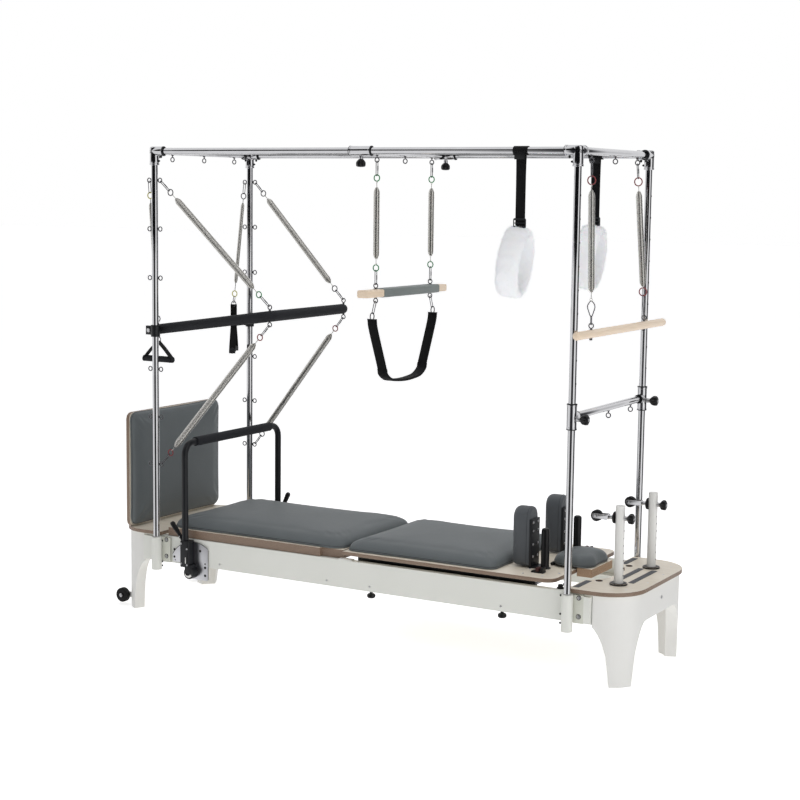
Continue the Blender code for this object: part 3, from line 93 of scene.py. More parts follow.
def node(tree, kind, inputs=None, **settings):
    """Adds one node with its settings; inputs are values to set, or sockets or nodes to link."""
    made = tree.nodes.new("ShaderNode" + kind)
    for key, value in settings.items():
        setattr(made, key, value)
    for key, value in (inputs or {}).items():
        value = output_of(value)
        if isinstance(value, bpy.types.NodeSocket):
            tree.links.new(value, made.inputs[key])
        else:
            made.inputs[key].default_value = value
    return made


def finish(name, **sockets):
    """A new material's node tree and its coordinates, with constants set on the shader's own sockets."""
    material = bpy.data.materials.new(name)
    material.use_nodes = True
    tree = material.node_tree
    for key, value in sockets.items():
        tree.nodes["Principled BSDF"].inputs[key.replace("_", " ")].default_value = value
    return material, tree, node(tree, "TexCoord").outputs


def dress(tree, colour, bump=None, gloss=None):
    """Links a finish's colour, bump and gloss to its shader."""
    shader = tree.nodes["Principled BSDF"]
    for key, source in (("Base Color", colour), ("Normal", bump), ("Roughness", gloss)):
        if source:
            tree.links.new(output_of(source), shader.inputs[key])


def blend_colours(tree, factor, dark, light):
    """A colour between two hex colours, by a factor socket."""
    ramp = node(tree, "ValToRGB", {"Fac": factor})
    ramp.color_ramp.elements[0].color = linear(dark)
    ramp.color_ramp.elements[1].color = linear(light)
    return ramp.outputs["Color"]


def speckled(name, dark, light, gloss, cloud, grain, bump, contrast=(0.0, 1.0), **sockets):
    """A finish whose colour and gloss drift with a wide noise, and whose surface follows a fine one. Each noise is
    a scale and a detail, the gloss is two roughnesses, and the bump a distance and a strength."""
    material, tree, coords = finish(name, **sockets)
    wide, fine = (node(tree, "TexNoise", {"Vector": coords["Object"], "Scale": scale, "Detail": detail})
                  for scale, detail in (cloud, grain))
    rough = node(tree, "MapRange", {"Value": wide, "From Min": contrast[0], "From Max": contrast[1],
                                    "To Min": gloss[0], "To Max": gloss[1]})
    height = node(tree, "Bump", {"Height": fine, "Distance": bump[0], "Strength": bump[1]})
    dress(tree, blend_colours(tree, wide, dark, light), height, rough)
    return material


def powder_coat(name, light, dark, roughness, peel):
    """Powder coating: a baked satin film with a fine orange peel of about 1.5 mm."""
    return speckled(name, dark, light, (roughness - 0.05, roughness + 0.06), (5.0, 3.0), (650.0, 2.0), (0.001, peel),
                    IOR=1.5)


def polished_stainless(name="polished_stainless", roughness=0.10, dark="#d3d3d5", light="#e8e8ea"):
    """Stainless tube polished to a near mirror: faint drawing lines and hand marks change the gloss."""
    return speckled(name, dark, light, (roughness - 0.04, roughness + 0.05), (28.0, 4.0), (900.0, 2.0),
                    (0.0002, 0.05), (0.3, 0.7), Metallic=1.0)


def birch_plywood(name, layer_axis, layers_dark="#5e493d", layers_light="#a08a76"):
    """Lacquered birch plywood: pale flat-cut faces, and edges of 1.4 mm veneers, darker in every second one."""
    material, tree, coords = finish(name, Coat_Weight=0.2, Coat_Roughness=0.25, IOR=1.5, Roughness=0.45)
    split = node(tree, "SeparateXYZ", {"Vector": coords["Object"]})
    facing = node(tree, "SeparateXYZ", {"Vector": coords["Normal"]})
    stretch = node(tree, "Mapping", {"Vector": coords["Object"], "Scale": (0.5, 7.0, 7.0)})
    bend = node(tree, "TexNoise", {"Vector": stretch, "Scale": 1.6, "Detail": 3.0})
    pulled = node(tree, "VectorMath", {0: stretch, 1: bend.outputs["Color"]}, operation="ADD")
    rings = node(tree, "TexWave", {"Vector": pulled, "Scale": 2.4, "Distortion": 5.0, "Detail": 3.0,
                                   "Detail Scale": 1.5}, bands_direction="Y")
    pores = node(tree, "Mapping", {"Vector": coords["Object"], "Scale": (40.0, 900.0, 900.0)})
    flecks = node(tree, "TexNoise", {"Vector": pores, "Scale": 1.0, "Detail": 3.0})
    face = node(tree, "Math", {0: rings, 1: flecks}, operation="MULTIPLY")
    face_colour = blend_colours(tree, face, "#e8dfcf", "#d9cdb9")
    layers = node(tree, "Math", {0: split.outputs[layer_axis], 1: 1 / 0.0028}, operation="MULTIPLY")
    saw = node(tree, "Math", {0: layers}, operation="FRACT")
    step = node(tree, "MapRange", {"Value": saw, "From Min": 0.42, "From Max": 0.58})
    ply = blend_colours(tree, step, layers_dark, layers_light)
    size = node(tree, "Math", {0: facing.outputs[layer_axis]}, operation="ABSOLUTE")
    top = node(tree, "MapRange", {"Value": size, "From Min": 0.6, "From Max": 0.8})
    mix = node(tree, "Mix", {0: top}, data_type="RGBA")
    colour_in = [s for s in mix.inputs if s.type == "RGBA"]
    tree.links.new(ply, colour_in[0])
    tree.links.new(face_colour, colour_in[1])
    bump = node(tree, "Bump", {"Height": flecks, "Distance": 0.0003, "Strength": 0.25})
    dress(tree, [s for s in mix.outputs if s.type == "RGBA"][0], bump)
    return material


def lacquered_maple():
    """Maple turned and planed along the bar, under clear lacquer: fine even grain, faint darker streaks."""
    material, tree, coords = finish("lacquered_maple", Coat_Weight=0.3, Coat_Roughness=0.15, Roughness=0.4)
    stretch = node(tree, "Mapping", {"Vector": coords["Object"], "Scale": (160.0, 4.0, 160.0)})
    streak = node(tree, "TexNoise", {"Vector": stretch, "Scale": 1.0, "Detail": 5.0})
    pores = node(tree, "Mapping", {"Vector": coords["Object"], "Scale": (1500.0, 40.0, 1500.0)})
    fine = node(tree, "TexNoise", {"Vector": pores, "Scale": 1.0, "Detail": 2.0})
    bump = node(tree, "Bump", {"Height": fine, "Distance": 0.0003, "Strength": 0.2})
    dress(tree, blend_colours(tree, streak, "#d9bfa2", "#f0e0cb"), bump)
    return material


def grained_leather(name, dark, light):
    """Embossed synthetic leather: pebbles of about 1.6 mm with fine creases, soft sheen on the rounds."""
    material, tree, coords = finish(name, Sheen_Weight=0.12, Sheen_Roughness=0.5, IOR=1.48)
    place = coords["Object"]
    pebble = node(tree, "TexVoronoi", {"Vector": place, "Scale": 620.0}, feature="DISTANCE_TO_EDGE")
    crease = node(tree, "TexNoise", {"Vector": place, "Scale": 240.0, "Detail": 4.0})
    cloud = node(tree, "TexNoise", {"Vector": place, "Scale": 7.0, "Detail": 3.0})
    height = node(tree, "Math", {0: pebble, 1: crease}, operation="ADD")
    bump = node(tree, "Bump", {"Height": height, "Distance": 0.0006, "Strength": 0.28})
    gloss = node(tree, "MapRange", {"Value": pebble, "From Max": 0.3, "To Min": 0.62, "To Max": 0.46})
    dress(tree, blend_colours(tree, cloud, dark, light), bump, gloss)
    return material


def moulded(name, dark, light, roughness, grit, depth):
    """Moulded nylon, rubber or foam: one colour with a spark-eroded or cellular surface of the given grit."""
    return speckled(name, dark, light, (roughness - 0.06, roughness + 0.06), (30.0, 2.0), (grit, 3.0), (0.001, depth),
                    IOR=1.5)


def woven_webbing():
    """Black nylon webbing: ribs across the strap every 2 mm and yarns along it, read from the strap's own map."""
    material, tree, coords = finish("woven_webbing", Roughness=0.8, Sheen_Weight=0.06, Sheen_Roughness=0.4,
                                    Specular_IOR_Level=0.3)
    place = coords["UV"]
    scaled = node(tree, "Mapping", {"Vector": place, "Scale": (500.0, 500.0, 1.0)})
    ribs = node(tree, "TexWave", {"Vector": scaled, "Scale": 0.16, "Distortion": 0.6}, bands_direction="X")
    yarns = node(tree, "TexWave", {"Vector": scaled, "Scale": 0.3, "Distortion": 0.4}, bands_direction="Y")
    height = node(tree, "Math", {0: ribs, 1: yarns}, operation="MULTIPLY")
    bump = node(tree, "Bump", {"Height": height, "Distance": 0.001, "Strength": 0.5})
    # The colour follows the weave's height, darker in its grooves: painted shade.
    dress(tree, blend_colours(tree, height, "#050506", "#111114"), bump)
    return material


def woolly_fleece():
    """Knitted white fleece: curled tufts of 3 to 8 mm, soft and slightly warm in the folds."""
    material, tree, coords = finish("woolly_fleece", Roughness=0.95, Sheen_Weight=1.0, Sheen_Roughness=0.6,
                                    Subsurface_Weight=0.15, Subsurface_Scale=0.01)
    place = coords["Object"]
    tuft = node(tree, "TexNoise", {"Vector": place, "Scale": 170.0, "Detail": 6.0, "Roughness": 0.75})
    bump = node(tree, "Bump", {"Height": tuft, "Distance": 0.006, "Strength": 0.45})
    # The colour follows the tufts' height, a little greyer between them: painted shade.
    dress(tree, blend_colours(tree, tuft, "#f1f3f8", "#ffffff"), bump)
    return material


WHITE = powder_coat("white_powder_coat", "#e5e5e2", "#dddcd8", 0.42, 0.10)
# The white socket plates coloured greyer to stand for their shade: painted shade.
SOCKET_PLATE_SHADED = powder_coat("socket_plate_painted_shade", "#d2d3c8", "#c9cabf", 0.42, 0.10)
WHITE_RAIL = powder_coat("white_coated_aluminium", "#e1e2dc", "#d9dad3", 0.40, 0.08)
BLACK = powder_coat("black_powder_coat", "#16181c", "#101215", 0.42, 0.14)
STEEL = polished_stainless()
ZINC = polished_stainless("zinc_plated_screws", 0.3)
BRIGHT_ZINC = polished_stainless("satin_zinc_plate", 0.34, "#e2e2e6", "#f0f0f3")
LINKS = polished_stainless("polished_steel_links", 0.22, "#6f6f72", "#8b8b8e")
SPRING_WIRE = polished_stainless("drawn_spring_wire", 0.20, "#f0eee8", "#fbf9f4")
PLY_FLAT = birch_plywood("birch_plywood_flat", "Z")
PLY_UP = birch_plywood("birch_plywood_upright", "X")
PLY_PROP = birch_plywood("birch_plywood_prop", "Z", "#8a6b55", "#c9ab8c")
MAPLE = lacquered_maple()
LEATHER = grained_leather("grey_synthetic_leather", "#5b6163", "#646a6c")
# A darker copy of the same leather, for the upright shoulder pads: painted shade.
LEATHER_SHADED = grained_leather("grey_synthetic_leather_painted_shade", "#4b4f53", "#54585c")
WRAP = grained_leather("grey_grip_wrap", "#6f7675", "#7b8381")
NYLON = moulded("black_nylon", "#08080a", "#0e0e11", 0.40, 900.0, 0.10)
FOAM = moulded("closed_cell_foam", "#17181c", "#202227", 0.78, 700.0, 0.35)
RUBBER = moulded("black_rubber", "#0a0a0b", "#101011", 0.7, 500.0, 0.2)
STRIP = moulded("grit_tread_strip", "#55575a", "#6a6c6f", 0.85, 1600.0, 0.6)
CLEAT = moulded("brown_cleat_resin", "#3a1c1a", "#52261f", 0.4, 600.0, 0.15)
# Near-black finish for painted shade: in holes, in seam gaps, in recesses round screws and along a plate's rim.
PAINTED_SHADE = moulded("painted_shade_in_holes_and_gaps", "#0a0a0a", "#0c0c0c", 0.8, 300.0, 0.1)
RED = moulded("red_dipped_ring", "#762a2c", "#863437", 0.35, 500.0, 0.08)
GREEN = moulded("green_dipped_ring", "#2f7d4c", "#3a8f58", 0.35, 500.0, 0.08)
YELLOW = moulded("yellow_dipped_ring", "#b9b35c", "#c8c26c", 0.35, 500.0, 0.08)
THREAD = moulded("seam_thread", "#3a3d40", "#45484b", 0.7, 1200.0, 0.3)
WEBBING = woven_webbing()
FLEECE = woolly_fleece()


def mm(*numbers):
    """Pairs of numbers in millimetres, such as the heights and radii of a turned shape, as metres."""
    return np.array(numbers).reshape(-1, 2) / 1000


def raised(flat, axis, level):
    """Flat points with a third coordinate, the same for all of them, let in at an axis."""
    return np.insert(np.asarray(flat, float), axis, level, axis=1)


def placed(name, data):
    """An object in the scene that holds the given data, at the origin."""
    obj = bpy.data.objects.new(name, data)
    bpy.context.scene.collection.objects.link(obj)
    return obj


def unit(vector):
    """A vector, or each row of an array, at length one."""
    vector = np.asarray(vector, float)
    return vector / np.linalg.norm(vector, axis=-1, keepdims=True)


def patch(rings, closed=False, mat=0):
    """Rings of points (along, around, 3) as faces: each point joins its next around and along.

    The map holds metres along and metres around. Faces are turned out by the sign of the volume they enclose.
    """
    rings = np.asarray(rings, float)
    n, k = rings.shape[:2]
    rows = np.arange(n if closed else n - 1)[:, None]
    cols = np.arange(k)[None]
    a, b = rows * k + cols, rows * k + (cols + 1) % k
    d, c = (rows + 1) % n * k + cols, (rows + 1) % n * k + (cols + 1) % k
    quads = np.stack([a, b, c, d], -1).reshape(-1, 4)
    step = np.linalg.norm(np.roll(rings, -1, 0) - rings, axis=2).mean(1)
    long = np.concatenate([[0], np.cumsum(step)])
    hop = np.linalg.norm(np.roll(rings, -1, 1) - rings, axis=2).mean(0)
    wide = np.concatenate([[0], np.cumsum(hop)])
    u0, u1 = long[rows + 0 * cols], long[rows + 1 + 0 * cols]
    v0, v1 = wide[cols + 0 * rows], wide[cols + 1 + 0 * rows]
    uv = np.stack([np.stack([u0, v0], -1), np.stack([u0, v1], -1), np.stack([u1, v1], -1), np.stack([u1, v0], -1)],
                  2).reshape(-1, 4, 2)
    ends = [np.arange(k)[::-1], np.arange(k) + (n - 1) * k] if not closed else []
    points = rings.reshape(-1, 3)
    p = points - points.mean(0)
    volume = (np.cross(p[quads[:, 0]], p[quads[:, 1]]) * p[quads[:, 2]]).sum()
    volume += (np.cross(p[quads[:, 0]], p[quads[:, 2]]) * p[quads[:, 3]]).sum()
    for cap in ends:
        volume += (np.cross(p[cap], p[np.roll(cap, -1)]) * p[cap].mean(0)).sum()
    if volume < 0:
        quads, uv, ends = quads[:, ::-1], uv[:, ::-1], [cap[::-1] for cap in ends]
    return {"co": points, "quads": quads, "uv": uv, "caps": ends, "mat": mat}


def piece(name, patches, finishes, body, stands_for=(), sharp=40):
    """One object from several patches, its points in the row frame, riding on a body."""
    finishes = finishes if isinstance(finishes, list) else [finishes]
    patches = patches if isinstance(patches, list) else [patches]
    shift, co, quads, uvs, mats, caps, cap_mats = 0, [], [], [], [], [], []
    for part in patches:
        co.append(part["co"])
        quads.append(part["quads"] + shift)
        uvs.append(part["uv"])
        mats.append(np.full(len(part["quads"]), part["mat"]))
        caps += [cap + shift for cap in part["caps"]]
        cap_mats += [part["mat"]] * len(part["caps"])
        shift += len(part["co"])
    co, quads, uvs = np.concatenate(co), np.concatenate(quads), np.concatenate(uvs)
    corners = np.concatenate([quads.ravel()] + caps) if caps else quads.ravel()
    sizes = np.concatenate([np.full(len(quads), 4), [len(cap) for cap in caps]]).astype(int)
    mesh = bpy.data.meshes.new(name)
    mesh.vertices.add(len(co))
    mesh.vertices.foreach_set("co", (co + MIDDLE).astype(np.float32).ravel())
    mesh.loops.add(len(corners))
    mesh.loops.foreach_set("vertex_index", corners.astype(np.int32))
    mesh.polygons.add(len(sizes))
    mesh.polygons.foreach_set("loop_start", np.concatenate([[0], np.cumsum(sizes)[:-1]]).astype(np.int32))
    mesh.polygons.foreach_set("material_index", np.concatenate(mats + [cap_mats]).astype(np.int32))
    mesh.update(calc_edges=True)
    layer = mesh.uv_layers.new(name="metres")
    flat = np.zeros((len(corners), 2))
    flat[:quads.size] = uvs.reshape(-1, 2)
    layer.data.foreach_set("uv", flat.astype(np.float32).ravel())
    mesh.shade_smooth()
    mesh.set_sharp_from_angle(angle=math.radians(sharp))
    for each in finishes:
        mesh.materials.append(each)
    obj = placed(name, mesh)
    if body:
        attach(obj, body)
    if stands_for:
        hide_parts(*([stands_for] if isinstance(stands_for, str) else stands_for))
    return obj


def circle(radius, sides):
    """A circle of points in two coordinates."""
    turn = (np.arange(sides) + 0.5) * 2 * math.pi / sides
    return radius * np.c_[np.cos(turn), np.sin(turn)]


def softened(outline, radius, steps=4, closed=True):
    """A polygon with each corner drawn as a curve that starts and ends one radius from it."""
    p = np.asarray(outline, float)
    before, after = np.roll(p, 1, 0) - p, np.roll(p, -1, 0) - p
    size_a, size_b = np.linalg.norm(before, axis=1), np.linalg.norm(after, axis=1)
    a = p + before / size_a[:, None] * np.minimum(radius, 0.45 * size_a)[:, None]
    b = p + after / size_b[:, None] * np.minimum(radius, 0.45 * size_b)[:, None]
    t = np.linspace(0, 1, steps)[None, :, None]
    curve = (1 - t) ** 2 * a[:, None] + 2 * t * (1 - t) * p[:, None] + t * t * b[:, None]
    if closed:
        return curve.reshape(-1, p.shape[1])
    return np.concatenate([p[:1], curve[1:-1].reshape(-1, p.shape[1]), p[-1:]])


def sweep(path, ref, profile, scale=1.0, closed=False, mat=0):
    """A flat profile carried along a path: its first axis lies across the path and the reference direction,
    its second along what is square to both."""
    path = np.asarray(path, float)
    tangent = np.roll(path, -1, 0) - np.roll(path, 1, 0) if closed else np.gradient(path, axis=0)
    tangent = unit(tangent)
    side = unit(np.cross(tangent, np.asarray(ref, float)))
    up = np.cross(side, tangent)
    scale = np.broadcast_to(np.asarray(scale, float).reshape(-1, 1) if np.ndim(scale) < 2 else scale, (len(path), 2))
    rings = (path[:, None] + (scale[:, None, :1] * profile[None, :, :1]) * side[:, None]
             + (scale[:, None, 1:] * profile[None, :, 1:]) * up[:, None])
    return patch(rings, closed, mat)


def tube(path, ref, radius, sides=28, ease=0.001, mat=0):
    """A round bar along a path whose two ends are rounded over by a small ease."""
    path = np.asarray(path, float)
    first, last = unit(path[1] - path[0]), unit(path[-1] - path[-2])
    turn = np.radians([0, 30, 60, 90])
    head = path[0] + first * (ease * (1 - np.cos(turn)))[:, None]
    tail = path[-1] - last * (ease * (1 - np.cos(turn)))[::-1][:, None]
    inner = path[1:-1]
    grow = (radius - ease * (1 - np.sin(turn))) / radius
    scale = np.concatenate([grow, np.ones(len(inner)), grow[::-1]])
    return sweep(np.concatenate([head, inner, tail]), ref, circle(radius, sides), scale, mat=mat)


def bar(start, end, radius, sides=28, ease=0.001, mat=0):
    """A straight round bar with eased ends."""
    start, end = np.asarray(start, float), np.asarray(end, float)
    along = unit(end - start)
    ref = Z if abs(along[2]) < 0.9 else X
    return tube(np.linspace(start, end, 4), ref, radius, sides, ease, mat)


def turned(start, axis, profile, sides=32, ease=0.0, mat=0, hollow=False):
    """A turned shape: rings of radius r at heights h along an axis, its profile's corners softened by an ease.
    A hollow one's profile closes on itself, as on a washer or sleeve."""
    profile = np.asarray(profile, float)
    if ease:
        profile = softened(profile, ease, 4, closed=hollow)
    axis = unit(axis)
    side = unit(np.cross(axis, Z if abs(axis[2]) < 0.9 else Y))
    across = np.cross(axis, side)
    ring = circle(1.0, sides)
    spread = ring[:, :1] * side + ring[:, 1:] * across
    rings = np.asarray(start, float) + profile[:, :1, None] * axis + profile[:, 1:, None] * spread[None]
    return patch(rings, closed=hollow, mat=mat)


def hoop(centre, normal, radius, wire, steps=28, sides=10, mat=0):
    """A ring of round wire about a centre."""
    normal = unit(normal)
    first = unit(np.cross(normal, Z if abs(normal[2]) < 0.9 else X))
    turn = np.arange(steps) * 2 * math.pi / steps
    path = np.asarray(centre, float) + radius * (np.outer(np.cos(turn), first)
                                                 + np.outer(np.sin(turn), np.cross(normal, first)))
    return sweep(path, normal, circle(wire, sides), closed=True, mat=mat)


def inset(outline, distance):
    """A closed outline moved inwards by a distance, along the mean of its two edges' normals."""
    p = np.asarray(outline, float)
    edge = unit(np.roll(p, -1, 0) - p)
    normal = np.c_[-edge[:, 1], edge[:, 0]]
    area = (p[:, 0] * np.roll(p[:, 1], -1) - p[:, 1] * np.roll(p[:, 0], -1)).sum()
    normal *= 1 if area > 0 else -1
    before = np.roll(normal, 1, 0)
    join = (normal + before) / (1 + (normal * before).sum(1, keepdims=True)).clip(0.4)
    return p + join * distance


def slab(outline, plane, low, high, ease=0.001, mat=0):
    """An outline in the XY, YZ or XZ plane, carried along the third axis, its edges rounded over."""
    order = {"XY": (0, 1, 2), "YZ": (1, 2, 0), "XZ": (0, 2, 1)}[plane]
    turn = np.radians([0, 30, 60, 90])
    steps = [(ease * (1 - math.sin(a)), low + ease * (1 - math.cos(a))) for a in turn]
    steps += [(ease * (1 - math.sin(a)), high - ease * (1 - math.cos(a))) for a in turn[::-1]]
    rings = np.zeros((len(steps), len(outline), 3))
    for ring, (draw, level) in zip(rings, steps):
        flat = inset(outline, draw)
        ring[:, order[0]], ring[:, order[1]], ring[:, order[2]] = flat[:, 0], flat[:, 1], level
    return patch(rings, mat=mat)


def block(low, high, ease=0.001, corner=0.0, mat=0):
    """A rectangular block between two corners, its edges rounded over."""
    (x0, y0, z0), (x1, y1, z1) = np.minimum(low, high), np.maximum(low, high)
    outline = softened([(x0, y0), (x1, y0), (x1, y1), (x0, y1)], max(corner, ease), 5)
    return slab(outline, "XY", z0, z1, ease, mat)


def arc(centre, radius, start, end, steps):
    """Points on a circle in a plane, by angle in degrees."""
    turn = np.radians(np.linspace(start, end, steps))
    return np.c_[centre[0] + radius * np.cos(turn), centre[1] + radius * np.sin(turn)]


def stadium(start, end, across, half_width, wire):
    """A long closed link between two points: two half circles joined by straight runs."""
    start, end = np.asarray(start, float), np.asarray(end, float)
    along, across = unit(end - start), unit(across)
    half = np.radians(np.linspace(-90, 90, 9))
    out, aside = np.outer(np.cos(half), along) * half_width, np.outer(np.sin(half), across) * half_width
    path = np.concatenate([start + along * half_width - out + aside, end - along * half_width + out - aside])
    return sweep(path, np.cross(along, across), circle(wire, 8), closed=True)


def coil(start, end, radius, wire, pitch, taper, neck):
    """A close-wound spring: a wire whose centre turns once for each pitch along the axis, at a radius that
    grows from the neck to the full radius over the taper at both ends."""
    start, end = np.asarray(start, float), np.asarray(end, float)
    span = np.linalg.norm(end - start)
    turns = max(int(round(span / pitch)), 3)
    t = np.linspace(0, 1, turns * 12 + 1)
    grow = np.clip(np.minimum(t, 1 - t) * span / taper, 0, 1)
    size = neck + (radius - wire - neck) * np.sin(grow * math.pi / 2)
    along = unit(end - start)
    side = unit(np.cross(along, Y))
    across = np.cross(along, side)
    angle = 2 * math.pi * turns * t
    path = (start + np.outer(t * span, along) + (size * np.cos(angle))[:, None] * side
            + (size * np.sin(angle))[:, None] * across)
    return sweep(path, along, circle(wire, 5))


def eye(root, direction, reach=EYE_REACH, nut_from=TUBE_R, mat=0):
    """An eye bolt: a ring on a threaded shank with a hex nut against the tube."""
    root, direction = np.asarray(root, float), unit(direction)
    centre = root + direction * reach
    return [hoop(centre, Y, 0.0095, 0.0024, 26, 10, mat), bar(root + direction * (nut_from - 0.004),
                                                              centre - direction * 0.0085, 0.0026, 12, 0.0003, mat),
            turned(root + direction * (nut_from - 0.0006), direction, mm(0, 5, 0.4, 5.6, 3, 5.6, 3.4, 5), 6, mat=mat)]


def screw_head(place, axis, radius, height, mat=0):
    """A domed socket screw: a low dome with a dark six-sided socket let into its middle."""
    dome = [(0.0, radius), (height * 0.35, radius), (height * 0.75, radius * 0.86), (height, radius * 0.55),
            (height, radius * 0.42), (height * 0.45, radius * 0.40)]
    return turned(place, axis, dome, 18, mat=mat)


def eased_copy(name, cad_node, coat, body, bevel):
    """The node's own shape with its doubles merged, its flat faces joined and its corners eased."""
    crease = math.radians(34)
    bm = bmesh.new()
    bm.from_mesh(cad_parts[cad_node].data)
    bmesh.ops.remove_doubles(bm, verts=bm.verts, dist=2e-6)
    bmesh.ops.dissolve_limit(bm, angle_limit=math.radians(0.4), verts=bm.verts, edges=bm.edges)
    mesh = bpy.data.meshes.new(name)
    bm.to_mesh(mesh)
    bm.free()
    mesh.materials.clear()
    mesh.materials.append(coat)
    mesh.polygons.foreach_set("material_index", np.zeros(len(mesh.polygons), np.int32))
    mesh.shade_smooth()
    mesh.set_sharp_from_angle(angle=crease)
    obj = placed(name, mesh)
    if bevel:
        ease = obj.modifiers.new("eased_edges", "BEVEL")
        ease.width, ease.segments, ease.limit_method, ease.angle_limit = bevel, 2, "ANGLE", crease
        ease.harden_normals = True
        ease.use_clamp_overlap = True
    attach(obj, body)
    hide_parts(cad_node)


def base_frame():
    """End sheets, rails, end boards, cross member, tread strips, collars, index plates and screws."""
    for end in ENDS:
        eased_copy(f"{end}_end_sheet", f"{end}_end_unit", WHITE, "base_frame", 0.0012)
    for name, side in SIDES.items():
        eased_copy(f"rail_beam_{name}", f"rail_{name}", WHITE_RAIL, "base_frame", 0.0010)
        face, plate, out = side * HALF_WIDTH, side * (HALF_WIDTH + 0.012), (0, side, 0)
        screws, knobs, dark, plates = [], [], [], []
        for end in ENDS.values():
            x, seam = end * POST_X, end * 1.1003
            low, high = (x + 0.018, face + side * 0.0002, 0.2475), (x + 0.061, plate + side * 0.0006, 0.3600)
            plates.append(block(low, high, 0.0006))
            for z in (0.350, 0.275):
                screws.append(screw_head((x + 0.0415, plate + side * 0.0006, z), out, 0.0080, 0.0034))
                # A black ring round each screw: painted shade of its recess.
                dark.append(hoop((x + 0.0415, plate + side * 0.0010, z), Y, 0.0092, 0.0010, 28, 6))
            stud_x, heights = (x + 0.0175, (0.343, 0.247, 0.229)) if end < 0 else (x - 0.0360, (0.351, 0.276, 0.240))
            knobs += [screw_head((stud_x, plate + side * 0.0002, z), out, 0.0045, 0.0026) for z in heights]
            # A black line at the seam across the rail face: painted shade in the joint.
            dark.append(block((seam - 0.0008, face + side * 0.0001, RAIL_LOW + 0.002),
                              (seam + 0.0008, face + side * 0.0005, RAIL_TOP - 0.004), 0.0001))
        screws += [screw_head((x, face, 0.268), out, 0.0045, 0.0022) for x in (-0.683, -0.123, 0.091, 0.705)]
        foot = mm(0, 7, 8, 7, 11, 15, 16, 18, 23, 18, 28, 13)
        knobs += [turned((x, side * 0.318, RAIL_LOW), DOWN, foot, 28, 0.0015) for x in (0.091, 0.705)]
        bumper = turned((0.950, side * 0.300, RAIL_TOP), Z, mm(0, 15, 4, 15, 6, 10.5, 14, 10.5, 17, 8), 24, 0.001)
        for kind, shapes, coat in (("socket_plates", plates, SOCKET_PLATE_SHADED), ("rail_screws", screws, ZINC),
                                   ("rail_feet", knobs, NYLON), ("rail_seam_and_screw_shade", dark, PAINTED_SHADE),
                                   ("rail_bumpers", bumper, RUBBER)):
            piece(f"{kind}_{name}", shapes, coat, "base_frame")
        index_plate(name, side)
    eased_copy("spring_tie_bar", "spring_cross_member", WHITE, "base_frame", 0.0015)
    eased_copy("foot_board", "foot_platform", PLY_FLAT, "base_frame", 0.0010)
    eased_copy("head_board", "head_platform", PLY_FLAT, "base_frame", 0.0008)
    strips = [block((x - 0.0125, low, BOARD_TOP), (x + 0.0125, high, BOARD_TOP + 0.0012), 0.0004, 0.003)
              for x, low, high in ((1.020, 0.180, 0.310), (1.020, -0.310, -0.180), (1.115, -0.140, 0.140),
                                   (1.178, -0.130, 0.130))]
    collars, caps, liners = [], [], []
    for side in SIDES.values():
        for base, shape, sides in ((BOARD_TOP, mm(0.1, 20, 0.1, 35.6, 5.6, 35.6, 7.6, 33, 7.8, 20), 48),
                                   (0.2550, mm(0, 20, 0, 25.6, 111.2, 25.6, 111.2, 20), 40)):
            collars.append(turned((RISER_X, side * RISER_Y, base), Z, shape, sides, hollow=True))
        caps += [screw_head((end * x, side * y, BOARD_TOP - 0.0006), Z, 0.005, 0.0012) for end in ENDS.values()
                 for x, y in mm(1205, 245, 1010, 310, 1232, 85)]
        liners.append(hoop((1.054, side * 0.1584, BOARD_TOP + 0.0002), Z, 0.0132, 0.0016, 32, 8))
    caps += [screw_head((end * HALF_LENGTH, 0.015, 0.307), (end, 0, 0), 0.007, 0.003) for end in ENDS.values()]
    for name, shapes, coat in (("tread_strips", strips, STRIP), ("riser_collars", collars, NYLON),
                               ("board_screws", caps, ZINC), ("rope_hole_liners", liners, NYLON)):
        piece(name, shapes, coat, "base_frame")


def index_plate(side_name, side):
    """The plate that the foot bar's pin drops into: a zinc quadrant on the rail with a row of pin holes and bolts.
    Its outline is a straight back and foot joined by a circle about the pivot."""
    face, reach = side * (HALF_WIDTH + 0.0065), 0.135
    first, last = math.degrees(math.acos(0.078 / reach)), 180 - math.degrees(math.acos(0.116 / reach))
    rim = arc(PIVOT, reach, first, last, 26)
    outline = np.concatenate([[(-0.742, 0.186)], rim, [(-0.936, 0.254), (-0.875, 0.254), (-0.860, 0.186)]])
    plate = slab(softened(outline, 0.004, 3), "XZ", *sorted((side * (HALF_WIDTH + 0.0002), face)), 0.0008)
    piece(f"index_plate_{side_name}", plate, BRIGHT_ZINC, "base_frame")
    # Black discs at the holes and a black cord along the rim: painted shade in the holes and at the edge.
    rows = [(-0.927, 0.310, 0.0052), (-0.927, 0.276, 0.0052), (-0.922, 0.262, 0.0026), (-0.784, 0.318, 0.0056),
            (-0.757, 0.262, 0.0036), (-0.757, 0.245, 0.0060), (-0.757, 0.209, 0.0060)]
    spots = [turned((x, face - side * 0.0004, z), (0, side, 0), ((0, r), (0.0010, r), (0.0013, r * 0.8)), 18)
             for x, z, r in rows]
    edge = sweep(raised(rim, 1, face), Y, circle(0.0011, 6))
    piece(f"index_plate_holes_{side_name}", spots + [edge], PAINTED_SHADE, "base_frame")


